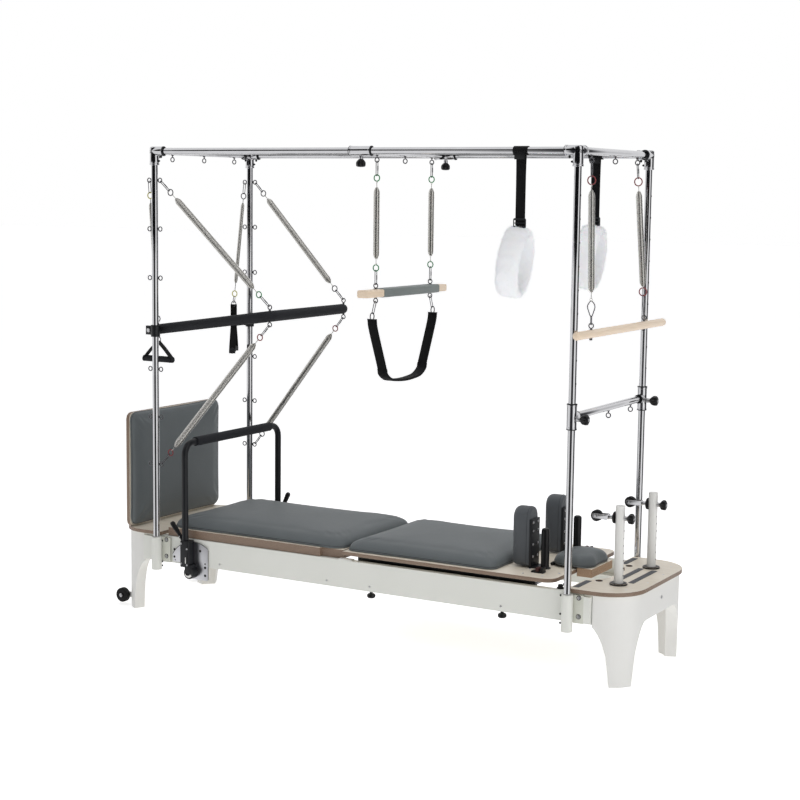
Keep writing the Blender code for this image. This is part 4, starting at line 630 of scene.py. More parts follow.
def tower():
    """Posts, top tubes, corner fittings, eye bolts, push bar clamps and index holes."""
    for side_name, side in SIDES.items():
        for end_name, end in ENDS.items():
            x, y = end * POST_X, side * POST_Y
            parts = [bar((x, y, 0.222), (x, y, TOP_AXIS - 0.028), TUBE_R, 36, 0.0008)]
            for z in EYE_HEIGHTS if end_name == "foot" else ():
                for way in (-1, 1):
                    parts += eye((x, y, z), (way, 0, 0), mat=1)
            piece(f"post_{side_name}_{end_name}", parts, [STEEL, LINKS], "base_frame",
                  f"upright_{side_name}_{end_name}")
            rim = [turned((x, y, 0.352), Z, mm(0, 23.2, 9, 23.2, 10.5, 22, 10.5, 15.2, 2, 15.2), 32)]
            piece(f"socket_rim_{side_name}_{end_name}", rim, WHITE_RAIL, "base_frame")
            heights = np.arange(1.910, 1.16, -0.090) if end_name == "head" else (1.488, 1.412, 1.250)
            # Shallow black discs: painted shade in the index holes.
            holes = [turned((x + end * (TUBE_R - 0.0008), y, z), (end, 0, 0), mm(0, 3.5, 1.2, 3.5, 1.3, 3), 12)
                     for z in heights]
            piece(f"index_holes_{side_name}_{end_name}", holes, PAINTED_SHADE, "base_frame")
        y, z = side * POST_Y, PUSH_Z
        ear_out, ear_in = side * (POST_Y - 0.0055), side * (PUSH_Y + PUSH_R + 0.002)
        clamp = [turned((-POST_X, y, z - 0.026), Z, mm(0, 15, 0, 20.5, 52, 20.5, 52, 15), 36, 0.001),
                 block((-1.068, ear_out, z - 0.020), (-POST_X, ear_in, z + 0.020), 0.002, 0.003)]
        piece(f"push_clamp_{side_name}", clamp, BLACK, "base_frame")
        bolt = [bar((PUSH_X, side * (POST_Y - 0.008), z), (PUSH_X, side * 0.298, z), 0.006, 20),
                turned((PUSH_X, ear_out, z), (0, side, 0), mm(0, 10.5, 4, 10.5, 5.5, 9), 6)]
        piece(f"push_bolt_{side_name}", bolt, ZINC, "base_frame")
        piece(f"top_tube_{side_name}", bar((-0.989, y, TOP_AXIS), (0.989, y, TOP_AXIS), TUBE_R, 36), STEEL,
              "base_frame", f"top_rail_{side_name}")
    for end_name, end in ENDS.items():
        x = end * POST_X
        parts = [bar((x, -POST_Y, TOP_AXIS), (x, POST_Y, TOP_AXIS), TUBE_R, 36)]
        for y in (-HANG_Y, 0.0, HANG_Y):
            parts += eye((x, y, TOP_AXIS), DOWN, BAR_EYE_REACH, mat=1)
        piece(f"end_tube_{end_name}", parts, [STEEL, LINKS], "base_frame", f"top_bar_{end_name}")
        for side_name, side in SIDES.items():
            y = side * POST_Y
            in_x, in_y, seal_at, corner = (-end, 0, 0), (0, -side, 0), 0.051, []
            for reach, way in ((0.060, DOWN), (seal_at, in_x), (seal_at, in_y)):
                shape = ((-SLEEVE_R * 0.6, SLEEVE_R * 0.75), (-SLEEVE_R * 0.2, SLEEVE_R), (reach - 0.008, SLEEVE_R),
                         (reach - 0.007, SLEEVE_R + 0.0012), (reach - 0.001, SLEEVE_R + 0.0012), (reach, SLEEVE_R),
                         (reach, TUBE_R))
                corner.append(turned((x, y, TOP_AXIS), way, shape, 36))
            lid = ((0, SLEEVE_R), (0.0245, SLEEVE_R), (0.0285, SLEEVE_R - 0.003), (0.0302, SLEEVE_R - 0.008))
            corner.append(turned((x, y, TOP_AXIS - 0.010), Z, lid, 36))
            piece(f"corner_fitting_{side_name}_{end_name}", corner, STEEL, "base_frame")
            rings = [hoop(np.array((x, y, TOP_AXIS)) + np.array(way) * seal_at, way, 0.0185, 0.0030, 36, 8)
                     for way in (in_x, in_y)]
            for dx, dy, dz, way in ((0.036, 0, SLEEVE_R, DOWN), (0, 0.036, SLEEVE_R, DOWN),
                                    (SLEEVE_R, 0, 0.042, in_x)):
                rings.append(screw_head((x - end * dx, y - side * dy, TOP_AXIS - dz), way, 0.0048, 0.009))
            piece(f"corner_seals_{side_name}_{end_name}", rings, BLACK, "base_frame")


def hung_spring(name, cad_node, top, bottom, radius, lead_top, lead_bottom, colours, body, blend_to=None, ring=0.0132,
                low_link="ring", low_reach=LINK_REACH):
    """A spring between two eyes: snap link, ring, wound spring with tapered ends, ring and snap link."""
    top, bottom = np.array(top, float), np.array(bottom, float)
    span = np.linalg.norm(bottom - top)
    along = (bottom - top) / span
    links, rings, hooks = [], [], []
    half_link, tuck = 0.0072, 0.0042
    for place, way, lead in ((top, along, lead_top), (bottom, -along, lead_bottom)):
        reach = low_reach if place is bottom else LINK_REACH
        link_end = place + way * reach
        if low_link == "snap" and place is bottom:
            across = np.array((0.75, 0.66, 0)) - way * np.dot(way, (0.75, 0.66, 0))
            shape = softened(mm(8, -4, 4, 0, 8, 4, 40, 15.5, 52, 14, 66, 3, 66, -3, 52, -14, 40, -15.5), 0.006, 4)
            loop = place + way * 0.030 + shape[:, :1] * way + shape[:, 1:] * across
            links.append(sweep(loop, np.cross(way, across), circle(0.0021, 8), closed=True))
            links.append(stadium(place + way * 0.0035, place + way * 0.038, np.cross(way, across), 0.0060, 0.0018))
            rings.append(hoop(place + way * 0.1010, Y, 0.0055, 0.0016, 24, 8))
            hooks.append(bar(place + way * 0.104, place + way * (lead + 0.006), 0.0016, 10))
            continue
        links.append(stadium(place + way * tuck, link_end, Y, half_link, 0.0018))
        gate = place + (0, half_link, 0)
        links.append(bar(gate + way * 0.024, gate + way * 0.044, 0.0026, 12))
        rings.append(hoop(link_end + way * (ring - tuck), Y, ring, 0.0024, 36, 10))
        far_side = reach + 2 * ring - tuck
        hooks.append(hoop(place + way * (far_side + 0.0022), np.cross(way, Y), 0.0042, 0.0013, 20, 8))
        hooks.append(bar(place + way * (far_side + 0.006), place + way * (lead + 0.006), 0.0016, 10))
    wire = 0.00125
    wound = coil(top + along * lead_top, bottom - along * lead_bottom, radius, wire, 2.06 * wire, 0.022,
                 radius * 0.36)
    made = [piece(name, wound, SPRING_WIRE, None, cad_node, sharp=80), piece(name + "_links", links, LINKS, None),
            piece(name + "_hooks", hooks, SPRING_WIRE, None)]
    made += [piece(f"{name}_ring_{place}", each, colour, None)
             for place, each, colour in zip(("top", "low"), rings, colours)]
    for obj in made:
        if blend_to:
            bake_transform(obj)
        else:
            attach(obj, body)


def cross_tube(name, cad_node, axis, centre, sleeve, body):
    """A tube between two sliding sleeves with three eye bolts under it."""
    x, z = centre
    parts = [bar((x, -POST_Y + SLEEVE_R * 0.8, z), (x, POST_Y - SLEEVE_R * 0.8, z), TUBE_R, 36)]
    for y in (-HANG_Y, 0.0, HANG_Y):
        parts += eye((x, y, z), DOWN, BAR_EYE_REACH, mat=1)
    piece(name, parts, [STEEL, LINKS], body, cad_node)
    along, half = np.array(axis, float), sleeve / 2
    shape = ((0, TUBE_R + 0.0004), (0, SLEEVE_R), (0.007, SLEEVE_R), (0.008, SLEEVE_R - 0.0008),
             (sleeve - 0.008, SLEEVE_R - 0.0008), (sleeve - 0.007, SLEEVE_R), (sleeve, SLEEVE_R),
             (sleeve, TUBE_R + 0.0004))
    for side_name, side in SIDES.items():
        middle = np.array((x, side * POST_Y, z))
        shell = [turned(middle - along * half, along, shape, 36, 0.0006),
                 turned(middle, (0, -side, 0), mm(12, 18.5, 40, 18.5, 42, 15), 36, 0.0008)]
        piece(f"{name}_sleeve_{side_name}", shell, STEEL, body)
        seals = [hoop(middle + along * way * half, along, 0.0182, 0.0030, 36, 8) for way in (-1, 1)]
        seals.append(hoop(middle - (0, side * 0.042, 0), Y, 0.0166, 0.0028, 36, 8))
        piece(f"{name}_seals_{side_name}", seals, BLACK, body)


def star_knob(name, cad_node, root, axis, body, radius=0.0205, length=0.049, stem=0.016):
    """A clamp knob: a steel stem, a black mushroom head with seven soft lobes and a steel centre."""
    axis = unit(axis)
    side = unit(np.cross(axis, Z if abs(axis[2]) < 0.9 else Y))
    across = np.cross(axis, side)
    turn = np.linspace(0, 2 * math.pi, 71)[:-1]
    head = length - stem
    heights = np.array([0.0, 0.10, 0.22, 0.38, 0.62, 0.84, 0.95, 1.0]) * head + stem
    sizes = np.array([0.46, 0.60, 0.80, 0.96, 1.0, 0.96, 0.84, 0.55]) * radius
    lobes = 0.90 + 0.10 * np.cos(7 * turn)
    depth = np.array([0.0, 0.2, 0.6, 1.0, 1.0, 1.0, 0.6, 0.1])[:, None]
    spread = sizes[:, None] * (1 + depth * (lobes[None] - 0.95))
    rings = (np.asarray(root, float) + heights[:, None, None] * axis + (spread * np.cos(turn))[..., None] * side
             + (spread * np.sin(turn))[..., None] * across)
    shank = ((0, 0.0085), (0.003, 0.0095), (stem * 0.8, 0.0095), (stem + 0.003, 0.0080))
    parts = [patch(rings), turned(root, axis, shank, 24, mat=1), turned(np.asarray(root) + axis * (length - 0.0005),
                                                                        axis, mm(0, 6, 0.8, 6, 1.2, 5), 20, mat=1)]
    piece(name, parts, [NYLON, ZINC], body, cad_node, sharp=50)


def attachments():
    """Mid bar, trapeze, sling, low bar, roll-down bar, push-through bar, loops and hand straps."""
    cross_tube("mid_bar", "mid_cross_bar", X, (MID_X, TOP_AXIS), 0.100, "mid_bar")
    cross_tube("low_bar", "low_cross_bar", Z, (POST_X, LOW_Z), 0.097, "low_bar")
    for name, side in SIDES.items():
        star_knob(f"mid_knob_head_{name}", f"mid_knob_{name}", (MID_X, side * POST_Y, TOP_AXIS - SLEEVE_R - GAP),
                  DOWN, f"mid_knob_{name}", 0.0195, 0.044, 0.012)
        star_knob(f"low_knob_head_{name}", f"low_knob_{name}", (POST_X + SLEEVE_R + GAP, side * POST_Y,
                                                                LOW_Z - 0.008), X, f"low_knob_{name}")
    trapeze()
    sling()
    roll_bar()
    push_bar()
    for name, side in SIDES.items():
        fleece_loop(name, side)
        hand_strap(name, side)


def trapeze():
    """The wooden trapeze bar on two springs, its middle wrapped for grip."""
    eye_z = TOP_AXIS - BAR_EYE_REACH
    for name, y in zip(SIDES, (-HANG_Y, HANG_Y)):
        hung_spring(f"trapeze_coil_{name}", f"trapeze_spring_{name}", (MID_X, y, eye_z),
                    (MID_X, y, TRAPEZE_Z + 0.031), 0.0135, 0.113, 0.112, (GREEN, GREEN), "trapeze")
    corners = mm(-27.5, 1478, 27.5, 1478, 27.5, 1510, -27.5, 1510) + (MID_X, 0)
    piece("trapeze_wood", slab(softened(corners, 0.008, 6), "XZ", -0.340, 0.340, 0.002), MAPLE, "trapeze",
          "trapeze_bar")
    middle = corners.mean(0)
    sleeve = softened(middle + (corners - middle) * (1.09, 1.16), 0.010, 7)
    piece("trapeze_wrap", slab(sleeve, "XZ", -0.211, 0.268, 0.0015), WRAP, "trapeze")
    eyes = []
    for y in (-HANG_Y, HANG_Y):
        for way in (Z, DOWN):
            eyes += eye((MID_X, y, TRAPEZE_Z), way, 0.031, nut_from=0.0185)
    piece("trapeze_eyes", eyes, LINKS, "trapeze")


def strap_profile(width, thick):
    """A flat strap's section: a rectangle with round edges; thickness first, width second."""
    return softened([(-thick / 2, -width / 2), (thick / 2, -width / 2), (thick / 2, width / 2),
                     (-thick / 2, width / 2)], thick * 0.45, 4)


def smooth_path(points, count):
    """Points spaced evenly along a Catmull-Rom curve through the given ones."""
    p = np.asarray(points, float)
    p = np.concatenate([2 * p[:1] - p[1:2], p, 2 * p[-1:] - p[-2:-1]])
    t = np.linspace(0, len(p) - 3 - 1e-9, count * 4)
    i = t.astype(int)
    f = (t - i)[:, None]
    a, b, c, d = p[i], p[i + 1], p[i + 2], p[i + 3]
    curve = 0.5 * (2 * b + (c - a) * f + (2 * a - 5 * b + 4 * c - d) * f ** 2 + (3 * b - a - 3 * c + d) * f ** 3)
    run = np.concatenate([[0], np.cumsum(np.linalg.norm(np.diff(curve, axis=0), axis=1))])
    even = np.linspace(0, run[-1], count)
    return np.stack([np.interp(even, run, curve[:, k]) for k in range(3)], 1)


def sling():
    """The padded foot sling: a doubled strap with a padded middle, round rings and snap links."""
    body, ring_y, low_z = "foot_sling", 0.262, 1.386
    half_path = mm(262, 1385, 250, 1340, 178, 1180, 168, 1150, 125, 1124, 65, 1115)
    points = np.concatenate([half_path * (-1, 1), [(0, 1.112)], half_path[::-1]])
    path = smooth_path(raised(points, 0, MID_X), 90)
    parts = [sweep(path, X, strap_profile(0.045, 0.0052))]
    low = path[:, 2] < 1.172
    pad = softened(mm(-5, -23.5, 5, -23.5, 5, 23.5, -5, 23.5), 0.004, 5)
    parts.append(sweep(path[low], X, pad))
    parts += [sweep(end, X, strap_profile(0.043, 0.0100)) for end in (path[:8], path[-8:])]
    piece("sling_strap", parts, WEBBING, body, "foot_sling", sharp=50)
    metal = []
    for side in (-1, 1):
        start = np.array((MID_X, side * HANG_Y, TRAPEZE_Z - 0.031))
        ring = np.array((MID_X, side * ring_y, 1.398))
        way = unit(ring - start)
        metal.append(stadium(start + way * 0.0025, ring - way * 0.012, np.array(Y) - way * way[1], 0.0075, 0.0018))
        metal.append(hoop(ring, X, 0.0155, 0.0024, 32, 10))
        metal.append(bar((MID_X - 0.024, side * ring_y, low_z), (MID_X + 0.024, side * ring_y, low_z), 0.0022, 12))
    piece("sling_rings", metal, LINKS, body)


def roll_bar():
    """The maple roll-down bar on two springs, hung against the head posts."""
    x = POST_X + TUBE_R + ROLL_R + 0.0004
    bar_profile = mm(0, 10, 1.5, 14, 6, 16.5, 905, 16.5, 909.5, 14, 911, 10)
    piece("roll_bar_wood", turned((x, -0.415, ROLL_Z), Y, bar_profile, 40, 0.002), MAPLE, "roll_bar", "roll_down_bar")
    eyes = []
    for y in ROLL_EYES:
        eyes += eye((x, y, ROLL_Z), Z, 0.0315, nut_from=ROLL_R)
        eyes.append(turned((x, y, ROLL_Z - 0.0160), DOWN, mm(0, 6.5, 7, 6.5, 9, 5), 16, 0.0008))
    piece("roll_bar_eyes", eyes, LINKS, "roll_bar")
    for name, top_y, low_y in zip(SIDES, (-HANG_Y, HANG_Y), ROLL_EYES):
        hung_spring(f"roll_coil_{name}", f"roll_spring_{name}", (POST_X, top_y, TOP_AXIS - BAR_EYE_REACH),
                    (x, low_y, ROLL_Z + 0.0315), 0.0135, 0.116, 0.130, (RED, SPRING_WIRE if name == "near" else RED),
                    "roll_bar", ring=0.0165, low_link="snap" if name == "near" else "ring", low_reach=0.0950)


def bent_u(corners, bend, steps=12):
    """A path through corner points in one plane whose inner corners are true arcs of the bend radius."""
    corners = [np.array(p, float) for p in corners]
    points = [corners[0]]
    for before, corner, after in zip(corners, corners[1:], corners[2:]):
        back, on = unit(before - corner), unit(after - corner)
        middle = corner + (back + on) * bend
        turn = np.linspace(0, math.pi / 2, steps)[:, None]
        points += list(middle - on * bend * np.cos(turn) - back * bend * np.sin(turn))
    return np.array(points + [corners[-1]])


def push_bar():
    """The foam-covered push-through bar, its end plugs, eyes and four springs."""
    y, rise = PUSH_Y, math.radians(8.2)
    run, lift = math.cos(rise), math.sin(rise)
    end_x, end_z = PUSH_X + 0.620 * run, PUSH_Z + 0.620 * lift
    eye_x, eye_y, reach = end_x - 0.004, 0.300, 0.0375
    start = np.array((-1.062, 0, 1.2893))
    path = bent_u([start + (0, -y, 0), (end_x, -y, end_z), (end_x, y, end_z), start + (0, y, 0)], 0.045, 12)
    sleeve = piece("push_bar_sleeve", tube(path, (-lift, 0, run), PUSH_R, 32, 0.003), FOAM, "push_bar", "push_bar")
    plugs, eyes, discs = [], [], []
    for side in (-1, 1):
        at = start + (0, side * y, 0) - unit((run, 0, lift)) * 0.0015
        plugs.append(turned(at, (run, 0, lift), mm(0, 14, 1.5, 17, 4, 17), 28))
        for way in (-1, 1):
            eyes += eye((eye_x, side * eye_y, end_z), (0, 0, way), reach, nut_from=PUSH_R)
        discs.append(hoop((PUSH_X, side * (y + 0.0226), PUSH_Z), Y, 0.0125, 0.0018, 30, 8))
        eyes.append(turned((PUSH_X, side * (y - 0.0228), PUSH_Z), (0, -side, 0), mm(0, 10, 2, 10, 3.5, 7.5), 24))
    piece("push_bar_plugs", plugs, NYLON, "push_bar")
    piece("push_bar_eyes", eyes, LINKS, "push_bar")
    piece("push_bar_washers", discs, WHITE, "push_bar")
    for name, side in SIDES.items():
        upper = (LINKS, GREEN) if side < 0 else (LINKS, LINKS)
        lower = (RED, RED) if side < 0 else (LINKS, RED)
        for level, post_eye, way, colours in (("upper", EYE_HEIGHTS[-1], 1, upper),
                                              ("lower", EYE_HEIGHTS[0], -1, lower)):
            post = (-POST_X + EYE_REACH, side * POST_Y, post_eye)
            end = (eye_x, side * eye_y, end_z + way * reach)
            hung_spring(f"push_coil_{name}_{level}", f"push_spring_{name}_{level}", post, end, 0.0145, 0.113, 0.113,
                        colours, "base_frame", "push_bar")


def fleece_loop(name, side):
    """A fleece cuff on webbing: a plump woolly band bent into an upright loop that leans a little, its curled
    tufts, its strap and its buckle. The band's middle line is an ellipse narrowed towards its top, and its
    section is an ellipse squared off a little."""
    x, y, body = 0.770, side * POST_Y, f"fleece_loop_{name}"
    lean, tall, wide, half_thick = math.radians(8), 0.1200, 0.061, 0.0180
    turn = np.linspace(0, 2 * math.pi, 121)[:-1]
    drop = half_thick + tall * (1 - np.sin(turn))
    swell = 1 - 0.26 * np.clip(np.sin(turn), 0, None) ** 2
    path = np.c_[x - drop * math.sin(lean), y + wide * np.cos(turn) * swell, 1.785 - drop * math.cos(lean)]
    along = np.array((math.cos(lean), 0, -math.sin(lean)))
    around = np.linspace(0, 2 * math.pi, 49)[:-1]
    flat = np.c_[half_thick * np.sign(np.cos(around)) * np.abs(np.cos(around)) ** 0.9,
                 0.0475 * np.sign(np.sin(around)) * np.abs(np.sin(around)) ** 0.80]
    tangent = unit(np.roll(path, -1, 0) - np.roll(path, 1, 0))
    out = unit(np.cross(tangent, along))
    rings = path[:, None] + flat[None, :, :1] * out[:, None] + flat[None, :, 1:] * along
    away = unit(rings - path[:, None] - 0.7 * (flat[None, :, 1:] * along))
    a, b, c = rings[..., 0], rings[..., 1], rings[..., 2]
    lumps = (np.sin(a * 210 + 1.3 * side) * np.sin(c * 190 + 2.0) + np.sin(b * 260 + c * 130)
             + 0.6 * np.sin(a * 430 + b * 390 + c * 410))
    rings = rings + away * (0.0010 * lumps)[..., None]
    cuff = piece(f"fleece_cuff_{name}", patch(rings, closed=True), FLEECE, body, f"fleece_loop_{name}", sharp=180)
    seed = np.random.default_rng(7 if side < 0 else 8)
    flat_points, flat_out = rings.reshape(-1, 3), away.reshape(-1, 3)
    count = 12000
    pick = seed.integers(0, len(flat_points), count)
    root = flat_points[pick] + seed.normal(0, 0.0014, (count, 3))
    lean_way = unit(flat_out[pick] + seed.normal(0, 0.60, (count, 3)))
    tip = root + lean_way * seed.uniform(0.003, 0.0075, (count, 1))
    girth = unit(np.cross(lean_way, seed.normal(0, 1, (count, 3)))) * 0.0006
    co = np.stack([root - girth, root + girth, tip], 1).reshape(-1, 3)
    faces = np.arange(len(co)).reshape(-1, 3)
    mesh = bpy.data.meshes.new(f"fleece_tufts_{name}")
    mesh.from_pydata((co + MIDDLE).tolist(), [], faces.tolist())
    mesh.materials.append(FLEECE)
    tufts = placed(f"fleece_tufts_{name}", mesh)
    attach(tufts, body)
    inner = TUBE_R + 0.0019
    ring = arc((y, TOP_AXIS), inner, 0, 360, 49)[:-1]
    strap = [sweep(raised(ring, 0, x), X, strap_profile(0.062, 0.0026), closed=True)]
    for gap in (-0.0016, 0.0016):
        line = np.c_[y + gap + 0.004 * np.linspace(1, 0, 30) ** 6 * np.sign(gap),
                     np.linspace(TOP_AXIS - inner + 0.002, 1.768, 30)]
        strap.append(sweep(raised(line, 0, x), X, strap_profile(0.040, 0.0022)))
    piece(f"loop_strap_{name}", strap, WEBBING, body, sharp=50)
    keeper = block((x - 0.0225, y - 0.0185, TOP_AXIS - 0.034), (x + 0.0225, y - 0.0165, TOP_AXIS - 0.004), 0.0008,
                   0.002)
    piece(f"loop_keeper_{name}", keeper, NYLON, body)
    front = y - 0.0048
    steel = [bar((x - 0.024, front, z), (x + 0.024, front, z), 0.0020, 10) for z in (1.787, 1.800, 1.813)]
    frame_path = softened(mm(-25.5, 1783, 25.5, 1783, 25.5, 1817, -25.5, 1817) + (x, 0), 0.005, 5)
    steel.append(sweep(raised(frame_path, 1, front), Y, circle(0.0022, 10), closed=True))
    piece(f"loop_buckle_{name}", steel, BLACK, body)


def hand_strap(name, side):
    """A hand strap on its light spring: snap link, ring, spring, D ring, webbing triangle and round grip."""
    body = f"hand_strap_{name}"
    start = np.array((-POST_X - EYE_REACH, side * POST_Y, EYE_HEIGHTS[-1]))
    arm_face = PUSH_Y - PUSH_R
    drop, hook_low = (1.291, 1.250) if side < 0 else (1.376, 1.380)
    apex = np.array((start[0] - 0.010, side * (arm_face - (0.0035 if side < 0 else 0.0095)), drop))
    span = np.linalg.norm(apex - start)
    down = (apex - start) / span
    wire, lead = 0.0010, 0.100
    wound = coil(start + down * lead, start + down * (span - lead), 0.0092, wire, 2.06 * wire, 0.016, 0.0040)
    piece(f"hand_coil_{name}", wound, SPRING_WIRE, body, sharp=80)
    links = [stadium(start + down * 0.0034, start + down * 0.0560, Y, 0.0078, 0.0017),
             bar(start + down * 0.078, start + down * (lead + 0.004), 0.0015, 10),
             bar(start + down * (span - lead - 0.004), apex - down * 0.062, 0.0015, 10),
             stadium(apex - down * 0.036, (apex[0], apex[1], hook_low), Y, 0.0062, 0.0017),
             hoop((apex[0], apex[1], hook_low - 0.0040), Y, 0.0125, 0.0021, 30, 10)]
    piece(f"hand_links_{name}", links, LINKS, body)
    for place, centre, yellow in (("top", start + down * 0.0665, side < 0), ("low", apex - down * 0.048, side > 0)):
        piece(f"hand_ring_{place}_{name}", [hoop(centre, Y, 0.0135, 0.0024, 30, 10)], YELLOW if yellow else LINKS,
              body)
    turn = math.radians(90 if side < 0 else 30)
    spread = np.array((-math.sin(turn), math.cos(turn), 0)) * 0.080
    top, grip = np.array((apex[0], apex[1], hook_low - 0.016)), np.array((apex[0], apex[1], 1.158))
    web = unit(np.cross(spread, Z))
    legs, fork = [], np.array((apex[0], apex[1], min(top[2], 1.262)))
    for way in (-1, 1):
        neck = [top - way * spread * 0.05 + (0, 0, 0.004)]
        if side > 0:
            neck += [top + way * spread * 0.02, fork + way * spread * 0.02]
        neck += [fork + way * spread * 0.10 + (0, 0, -0.004), (fork + grip) / 2 + way * spread * 0.56,
                 grip + way * spread * 0.98, grip + way * spread * 0.90 + (0, 0, -0.012)]
        legs.append(sweep(smooth_path(neck, 40), web, strap_profile(0.030, 0.0028)))
    piece(f"hand_webbing_{name}", legs, WEBBING, body, f"hand_strap_{name}", sharp=50)
    along = unit(spread)
    grip_profile = mm(0, 10, 2, 13.5, 8, 14, 158, 14, 164, 13.5, 166, 10)
    handle = turned(grip - along * 0.083, along, grip_profile, 32, 0.001)
    piece(f"hand_grip_{name}", handle, FOAM, body)


def outline_of_pad(half_u, half_v, corner, pull):
    """A rounded rectangle whose sides draw in towards their middles by a sine of the share along them."""
    points = []
    for su, sv, turn in ((1, -1, -90), (1, 1, 0), (-1, 1, 90), (-1, -1, 180)):
        points += list(arc((su * (half_u - corner), sv * (half_v - corner)), corner, turn, turn + 90, 8))
        straight = half_v - corner if turn in (-90, 90) else half_u - corner
        share = np.arange(1, 14) / 14
        draw, along = pull * np.sin(math.pi * share), straight * (1 - 2 * share)
        points += list({-90: np.c_[half_u - draw, -along], 0: np.c_[along, half_v - draw],
                        90: np.c_[-half_u + draw, along], 180: np.c_[-along, -half_v + draw]}[turn])
    return np.array(points)


def pad_rings(size_u, size_v, thick, crown, corner, pull, round_over, roll):
    """A pad's skin: a flat base, short upright sides, an upper edge rolled over in a quarter ellipse and a
    crowned top that rises by a cosine. The roll is how much wider than high that ellipse is."""
    outline = outline_of_pad(size_u / 2, size_v / 2, corner, pull)
    half = np.array([size_u / 2, size_v / 2])
    rows = [(0.80, 0.0, 0.0), (1.0, 0.003, 0.0), (1.0, 0.0008, 0.0015), (1.0, 0.0, 0.004)]
    for a in np.radians(np.linspace(0, 90, 9)):
        rows.append((1.0, roll * round_over * (1 - math.cos(a)), thick - round_over * (1 - math.sin(a))))
    for share in (0.93, 0.85, 0.72, 0.55, 0.35, 0.15, 0.03):
        rows.append((share, roll * round_over, thick + crown * math.cos(share * math.pi / 2)))
    rings = []
    for share, draw, z in rows:
        flat = outline * (1 - draw / half) * share
        rings.append(raised(flat, 2, z))
    return np.array(rings)


def laid(points, columns, origin):
    """Points with their local X, Y and Z laid along three given directions from an origin."""
    return np.asarray(points, float) @ np.array(columns, float) + np.array(origin, float)


def swelled(obj, voxel, up, hold_below):
    """The pad's cover filled by its foam: the skin is remeshed, blown out as cloth for 20 frames, and no point
    moves further than SWELL. Points under the hold height along the pad's up direction stay on the board."""
    scene = bpy.context.scene
    remesh = obj.modifiers.new("even_skin", "REMESH")
    remesh.mode, remesh.voxel_size, remesh.use_smooth_shade = "VOXEL", voxel, True
    graph = bpy.context.evaluated_depsgraph_get()
    mesh = bpy.data.meshes.new_from_object(obj.evaluated_get(graph))
    obj.modifiers.clear()
    mesh.materials.clear()
    for each in obj.data.materials:
        mesh.materials.append(each)
    obj.data = mesh
    count = len(mesh.vertices)
    rest = np.zeros(count * 3, np.float32)
    mesh.vertices.foreach_get("co", rest)
    rest = rest.reshape(-1, 3).astype(float)
    height = rest @ np.asarray(up, float)
    held = obj.vertex_groups.new(name="held")
    held.add([int(i) for i in np.nonzero(height < hold_below)[0]], 1.0, "REPLACE")
    cloth = obj.modifiers.new("filling", "CLOTH")
    cloth.settings.use_pressure = True
    cloth.settings.uniform_pressure_force = 4.0
    cloth.settings.effector_weights.gravity = 0.0
    cloth.settings.vertex_group_mass = "held"
    cloth.settings.quality = 4
    cloth.settings.mass = 0.3
    cloth.settings.tension_stiffness = cloth.settings.compression_stiffness = 12.0
    cloth.settings.bending_stiffness = 0.6
    cloth.collision_settings.use_collision = False
    for number in range(1, 21):
        scene.frame_set(number)
    graph = bpy.context.evaluated_depsgraph_get()
    filled = obj.evaluated_get(graph)
    now = np.zeros(count * 3, np.float32)
    filled.data.vertices.foreach_get("co", now)
    move = now.reshape(-1, 3).astype(float) - rest
    size = np.linalg.norm(move, axis=1, keepdims=True)
    share = size / SWELL
    move *= np.minimum(1.0, SWELL / np.maximum(size, 1e-9))
    move *= (np.tanh(share * 1.2) / np.maximum(np.minimum(share, 1.0), 1e-6)).clip(0, 1)
    obj.modifiers.clear()
    mesh.vertices.foreach_set("co", (rest + move).astype(np.float32).ravel())
    mesh.update()
    mesh.shade_smooth()
    scene.frame_set(1)
    fine = obj.modifiers.new("fine", "SUBSURF")
    fine.levels = fine.render_levels = 1


def upholstered(name, cad_node, size_u, size_v, thick, crown, corner, pull, columns, origin, body, round_over,
                roll=1.25, voxel=0.007):
    """A foam pad under leather: the sewn cover, swelled by its filling, with a seam round its foot."""
    shrink = SWELL * 0.8
    rings = pad_rings(size_u - 2 * shrink, size_v - 2 * shrink, thick - shrink, crown, corner, pull, round_over, roll)
    pad = piece(name, [patch(laid(rings, columns, origin))], LEATHER, None, cad_node, sharp=180)
    swelled(pad, voxel, columns[2], float(np.dot(np.asarray(origin) + MIDDLE, columns[2])) + 0.004)
    outline = outline_of_pad(size_u / 2, size_v / 2, corner, pull)
    outer, inner = (laid(raised(outline * share, 2, 0.009), columns, origin) for share in (1.06, 0.9))
    seam_line(f"{name}_seam", pad, outer, inner, columns[2], body)
    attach(pad, body)


def seam_line(name, pad, outer, inner, up, body):
    """A seam's cord round a pad: rays run from an outer ring of points to an inner one, and the cord follows
    where they land on the cover."""
    tree = BVHTree.FromObject(pad, bpy.context.evaluated_depsgraph_get())
    hits = [tree.ray_cast(Vector(a + MIDDLE), Vector(b - a).normalized())[0] for a, b in zip(outer, inner)]
    spots = np.array([list(hit) for hit in hits if hit is not None]) - MIDDLE
    piece(name, sweep(spots, up, circle(0.0011, 8), closed=True), THREAD, body, sharp=80)


